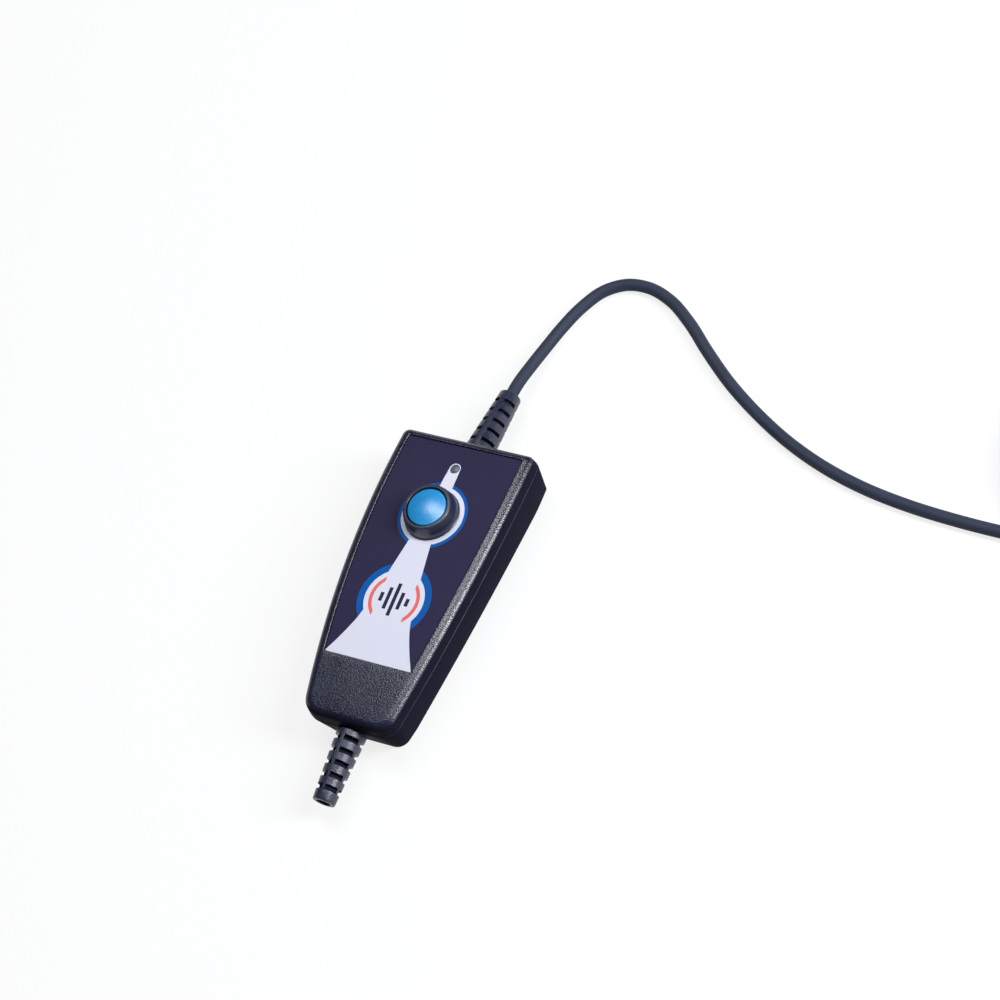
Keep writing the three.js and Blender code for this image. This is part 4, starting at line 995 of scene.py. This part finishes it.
def buttonBezel():
    # A turned cone with a well for the cap and a neck through the cover; its foot is bent to the label
    b = button
    base, foot = labelTop(b["y"]), b["baseRadius"]
    rim, floor, neckFoot = base + b["rise"], base + b["floor"], b["nutTop"] - b["neckReach"]
    well, stem, under = b["capRadius"] + b["room"], b["stemRadius"] + b["room"], base + b["flangeUnder"]
    footTop, footEdge = base + b["footTop"], b["footEdge"]
    inShare, upShare = b["waist"]
    profile = softProfile([  # radius, height and rounding of each corner
        (stem, neckFoot, 0.1), (b["neckRadius"], neckFoot, 0.3), (b["neckRadius"], under, 0), (well, under, 0),
        (foot, under, 0.12), (foot, footTop, 0.15), (foot - footEdge, footTop + footEdge, 0.3),
        (mix(foot, b["rimRadius"], inShare), mix(base, rim, upShare), b["waistRounding"]),
        (b["rimRadius"] + 0.03, rim - 0.1, b["rimRounding"]), (well + 0.1, rim, 0.2),
        (well, floor, 0.2), (stem, floor, 0.1)], 7)
    points = turnedPoints(profile, b["bezelSides"], (0, b["y"]))
    # the outer foot follows the label's arch in full up to the first height over its base, and fades by the next
    full, gone = b["follow"]
    height = points[..., 2] - base
    outer = np.clip(np.hypot(points[..., 0], points[..., 1] - b["y"]) - holeRadius, 0, 1)
    follow = np.clip((gone - height) / (gone - full), 0, 1) * outer
    points[..., 2] += follow * (labelTop(points[..., 1]) - base)
    piece = meshObject("buttonBezel", points, gridQuads(len(profile), b["bezelSides"], True))
    return finishPiece(piece, "satinBlackAbs", sharp=50, nodes=("button_bezel",))


def buttonCap():
    # A turned cap: stem, hollow skirt, rounded edge and a dome that rises as a parabola
    b = button
    rim, edge = labelTop(b["y"]) + b["rise"] - b["capSetDown"], b["capEdge"]
    inner, inside, skirtFoot = b["capRadius"] - b["skirtWall"], rim - b["capInside"], rim - b["skirtDepth"]
    corners = np.array([
        (0, b["stemFoot"]), (b["stemRadius"], b["stemFoot"]), (b["stemRadius"], inside),
        (inner, inside), (inner, skirtFoot), (b["capRadius"], skirtFoot)])
    angle = quarterTurn(8)
    roundEdge = np.stack([b["capRadius"] - edge * (1 - np.cos(angle)), rim - edge * (1 - np.sin(angle))], -1)
    share = np.linspace(1, 0, 14)[1:]
    dome = np.stack([(b["capRadius"] - edge) * share, rim + b["capDome"] * (1 - share**2)], -1)
    piece = turnedPiece("buttonCap", np.concatenate([corners, roundEdge, dome]), b["capSides"], (0, b["y"]))
    return finishPiece(piece, "satinBlueAbs", body="button", sharp=50, nodes=("button_cap",))


lamp = {"radius": 1.5, "proud": 0.05, "crown": 0.4, "flangeRadius": 1.9, "flange": (5.2, 4.2), "sides": 48}


def statusLamp():
    # A low crown, a quarter of an ellipse, that almost fills its hole, on a flanged foot
    radius, crown, flangeRadius = lamp["radius"], lamp["crown"], lamp["flangeRadius"]
    top = labelTop(label["lampY"]) + lamp["proud"]
    angle = quarterTurn(9)
    dome = np.stack([radius * np.cos(angle), top - crown + crown * np.sin(angle)], -1)
    under, over = (top - depth for depth in lamp["flange"])
    foot = np.array([(0, under), (flangeRadius, under), (flangeRadius, over), (radius, over)])
    piece = turnedPiece("statusLamp", np.concatenate([foot, dome]), lamp["sides"], (0, label["lampY"]))
    return finishPiece(piece, "castEpoxy", nodes=("status_led",))


buttonBezel()
buttonCap()
statusLamp()
print("button and lamp made")


# Slotted boots: a turned body with rings of four pockets that face the diagonals
def slottedBoot(name, end, node):
    # The profile is turned upright at the origin, slotted, lined with a sleeve and then seated on its wall
    b = boots
    grooveFoot = -housing["wall"] - b["innerStandOff"]
    innerEnd = grooveFoot - b["flangeThickness"]
    profile = softProfile([  # radius, height and rounding of each corner
        (b["bore"], innerEnd, 0.1), (b["flangeRadius"], innerEnd, 0.3), (b["flangeRadius"], grooveFoot, 0.3),
        (b["neckRadius"], grooveFoot, 0), (b["neckRadius"], b["standOff"], 0),
        (b["rootRadius"], b["standOff"], 0.3), (b["tipRadius"], b["length"], 0.5),
        (b["bore"], b["length"], 0.2)], 5)
    body = turnedPiece(name, profile, b["sides"], closed=True, moveIn=False)
    tools = []
    for i in range(b["slotRings"]):
        z = b["firstSlot"] + i * b["slotPitch"]
        radius = mix(b["rootRadius"], b["tipRadius"], (z - b["standOff"]) / (b["length"] - b["standOff"]))
        depth = radius - b["bore"] + b["slotSpare"]
        centre = (0, b["bore"] + depth / 2, z)
        for k, share in enumerate(end["slotShares"]):
            turn = ((k + 0.5) / len(end["slotShares"]) + end["turnShare"]) * 2 * math.pi
            tools.append(blockTool(f"slot{i}{k}", share * radius, depth, end["slotLength"], centre, turn))
    carve(body, *tools)
    sleeveEnd = b["length"] - b["sleeveShort"]
    tube = [(b["bore"], b["sleeveFrom"]), (end["sleeveRadius"], b["sleeveFrom"]),
            (end["sleeveRadius"], sleeveEnd), (b["bore"], sleeveEnd)]
    carve(body, turnedPiece("sleeve", tube, b["sides"], closed=True, moveIn=False), operation="UNION")
    centres = np.empty(len(body.data.polygons) * 3)
    body.data.polygons.foreach_get("center", centres)
    x, y, z = centres.reshape(-1, 3).T / mm
    # the sleeve's faces inside the slots, which get the painted shade
    shadedSlotFloors = (np.hypot(x, y) < b["slotShadeRadius"]) & (z > b["standOff"]) & (z < b["length"] - b["slotShadeShort"])
    seatOnWall(body, end)
    finishPiece(body, "mouldedPvc", nodes=(node,))
    # the floors of the slots take the darker matt finish: painted shade for the shadow that lies in the slots
    body.data.materials.append(finishes["drawnSideAndSlotShadeAbs"])
    body.data.polygons.foreach_set("material_index", shadedSlotFloors.astype(int))
    return body


slottedBoot("headBoot", boots["head"], "head_boot")
slottedBoot("footBoot", boots["foot"], "foot_boot")
print("boots made")


# Pieces of the frame that keep their shape
kept = {
    "cord_in_boot": "extrudedPvc", "button_nut": "platedSteel", "button_spring": "platedSteel",
    "button_switch": "mouldedNylon", "led_spacer": "mouldedNylon", "cord_connector": "mouldedNylon",
    "circuit_board": "solderResist", "sound_chip": "chipEpoxy", "control_chip": "chipEpoxy",
    "crystal": "drawnAluminium", "capacitor_1": "drawnAluminium", "capacitor_2": "drawnAluminium",
    "plug_tongue": "mouldedNylon",
    **{f"housing_screw_{i}": "platedSteel" for i in (1, 2, 3, 4)},
    **{f"board_screw_{i}": "platedSteel" for i in (1, 2, 3, 4)},
}
for node, finish in kept.items():
    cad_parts[node].data.materials.clear()
    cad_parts[node].data.materials.append(finishes[finish])
print("pieces of the frame dressed:", len(kept))


# Floor and background
backdrop = {
    "floorColour": 0.2, "floorRoughness": 0.9, "floorGlow": 0.81, "floorHalf": 3000,
    "overhead": 0.06, "lowBand": (0.05, 0.25),
}


def seenRays(tree):
    # 1 for rays from the camera and for those that gloss and glass send on
    rays = addNode(tree, "LightPath").outputs
    gloss = addNode(tree, "Math", {0: rays["Is Glossy Ray"], 1: rays["Is Transmission Ray"]}, operation="MAXIMUM")
    return addNode(tree, "Math", {0: rays["Is Camera Ray"], 1: gloss.outputs[0]}, operation="MAXIMUM").outputs[0]


def paleFloor():
    # matt board that is white to the eye and in reflections, and keeps the object's soft shadow
    material, tree, shader = startMaterial("paleFloor", backdrop["floorRoughness"])[:3]
    shader.inputs["Base Color"].default_value = (*[backdrop["floorColour"]] * 3, 1)
    shader.inputs["Specular IOR Level"].default_value = 0.0
    glow = addNode(tree, "Math", {0: seenRays(tree), 1: backdrop["floorGlow"]}, operation="MULTIPLY")
    seen = addNode(tree, "Emission", {"Color": (1, 1, 1, 1), "Strength": glow.outputs[0]})
    both = addNode(tree, "AddShader", {0: shader.outputs[0], 1: seen.outputs[0]})
    output = next(node for node in tree.nodes if node.type == "OUTPUT_MATERIAL")
    tree.links.new(both.outputs[0], output.inputs["Surface"])
    corners = np.array([(-1, -1, 0), (1, -1, 0), (1, 1, 0), (-1, 1, 0)]) * backdrop["floorHalf"]
    floor = meshObject("floor", corners, [(0, 1, 2, 3)], moveIn=False)
    floor.data.materials.append(material)


def paleWorld():
    # dim overhead; the low band that stands behind the object is white to the eye and in reflections
    world = bpy.data.worlds.new("paleWorld")
    bpy.context.scene.world = world
    world.use_nodes = True
    tree = world.node_tree
    tree.nodes.clear()
    direction = addNode(tree, "SeparateXYZ", {0: addNode(tree, "TexCoord").outputs["Generated"]})
    lowest, highest = backdrop["lowBand"]
    low = addNode(tree, "MapRange", {
        "Value": direction.outputs[2], "From Min": lowest, "From Max": highest, "To Min": 1.0, "To Max": 0.0})
    share = addNode(tree, "Math", {0: low.outputs[0], 1: seenRays(tree)}, operation="MULTIPLY")
    strength = addNode(tree, "MapRange", {
        "Value": share.outputs[0], "To Min": backdrop["overhead"], "To Max": 1.0})
    light = addNode(tree, "Background", {"Color": (1, 1, 1, 1), "Strength": strength.outputs[0]})
    addNode(tree, "OutputWorld", {"Surface": light.outputs[0]})


paleFloor()
paleWorld()
print("floor and background made")
bpy.context.scene.view_settings.view_transform = "Standard"
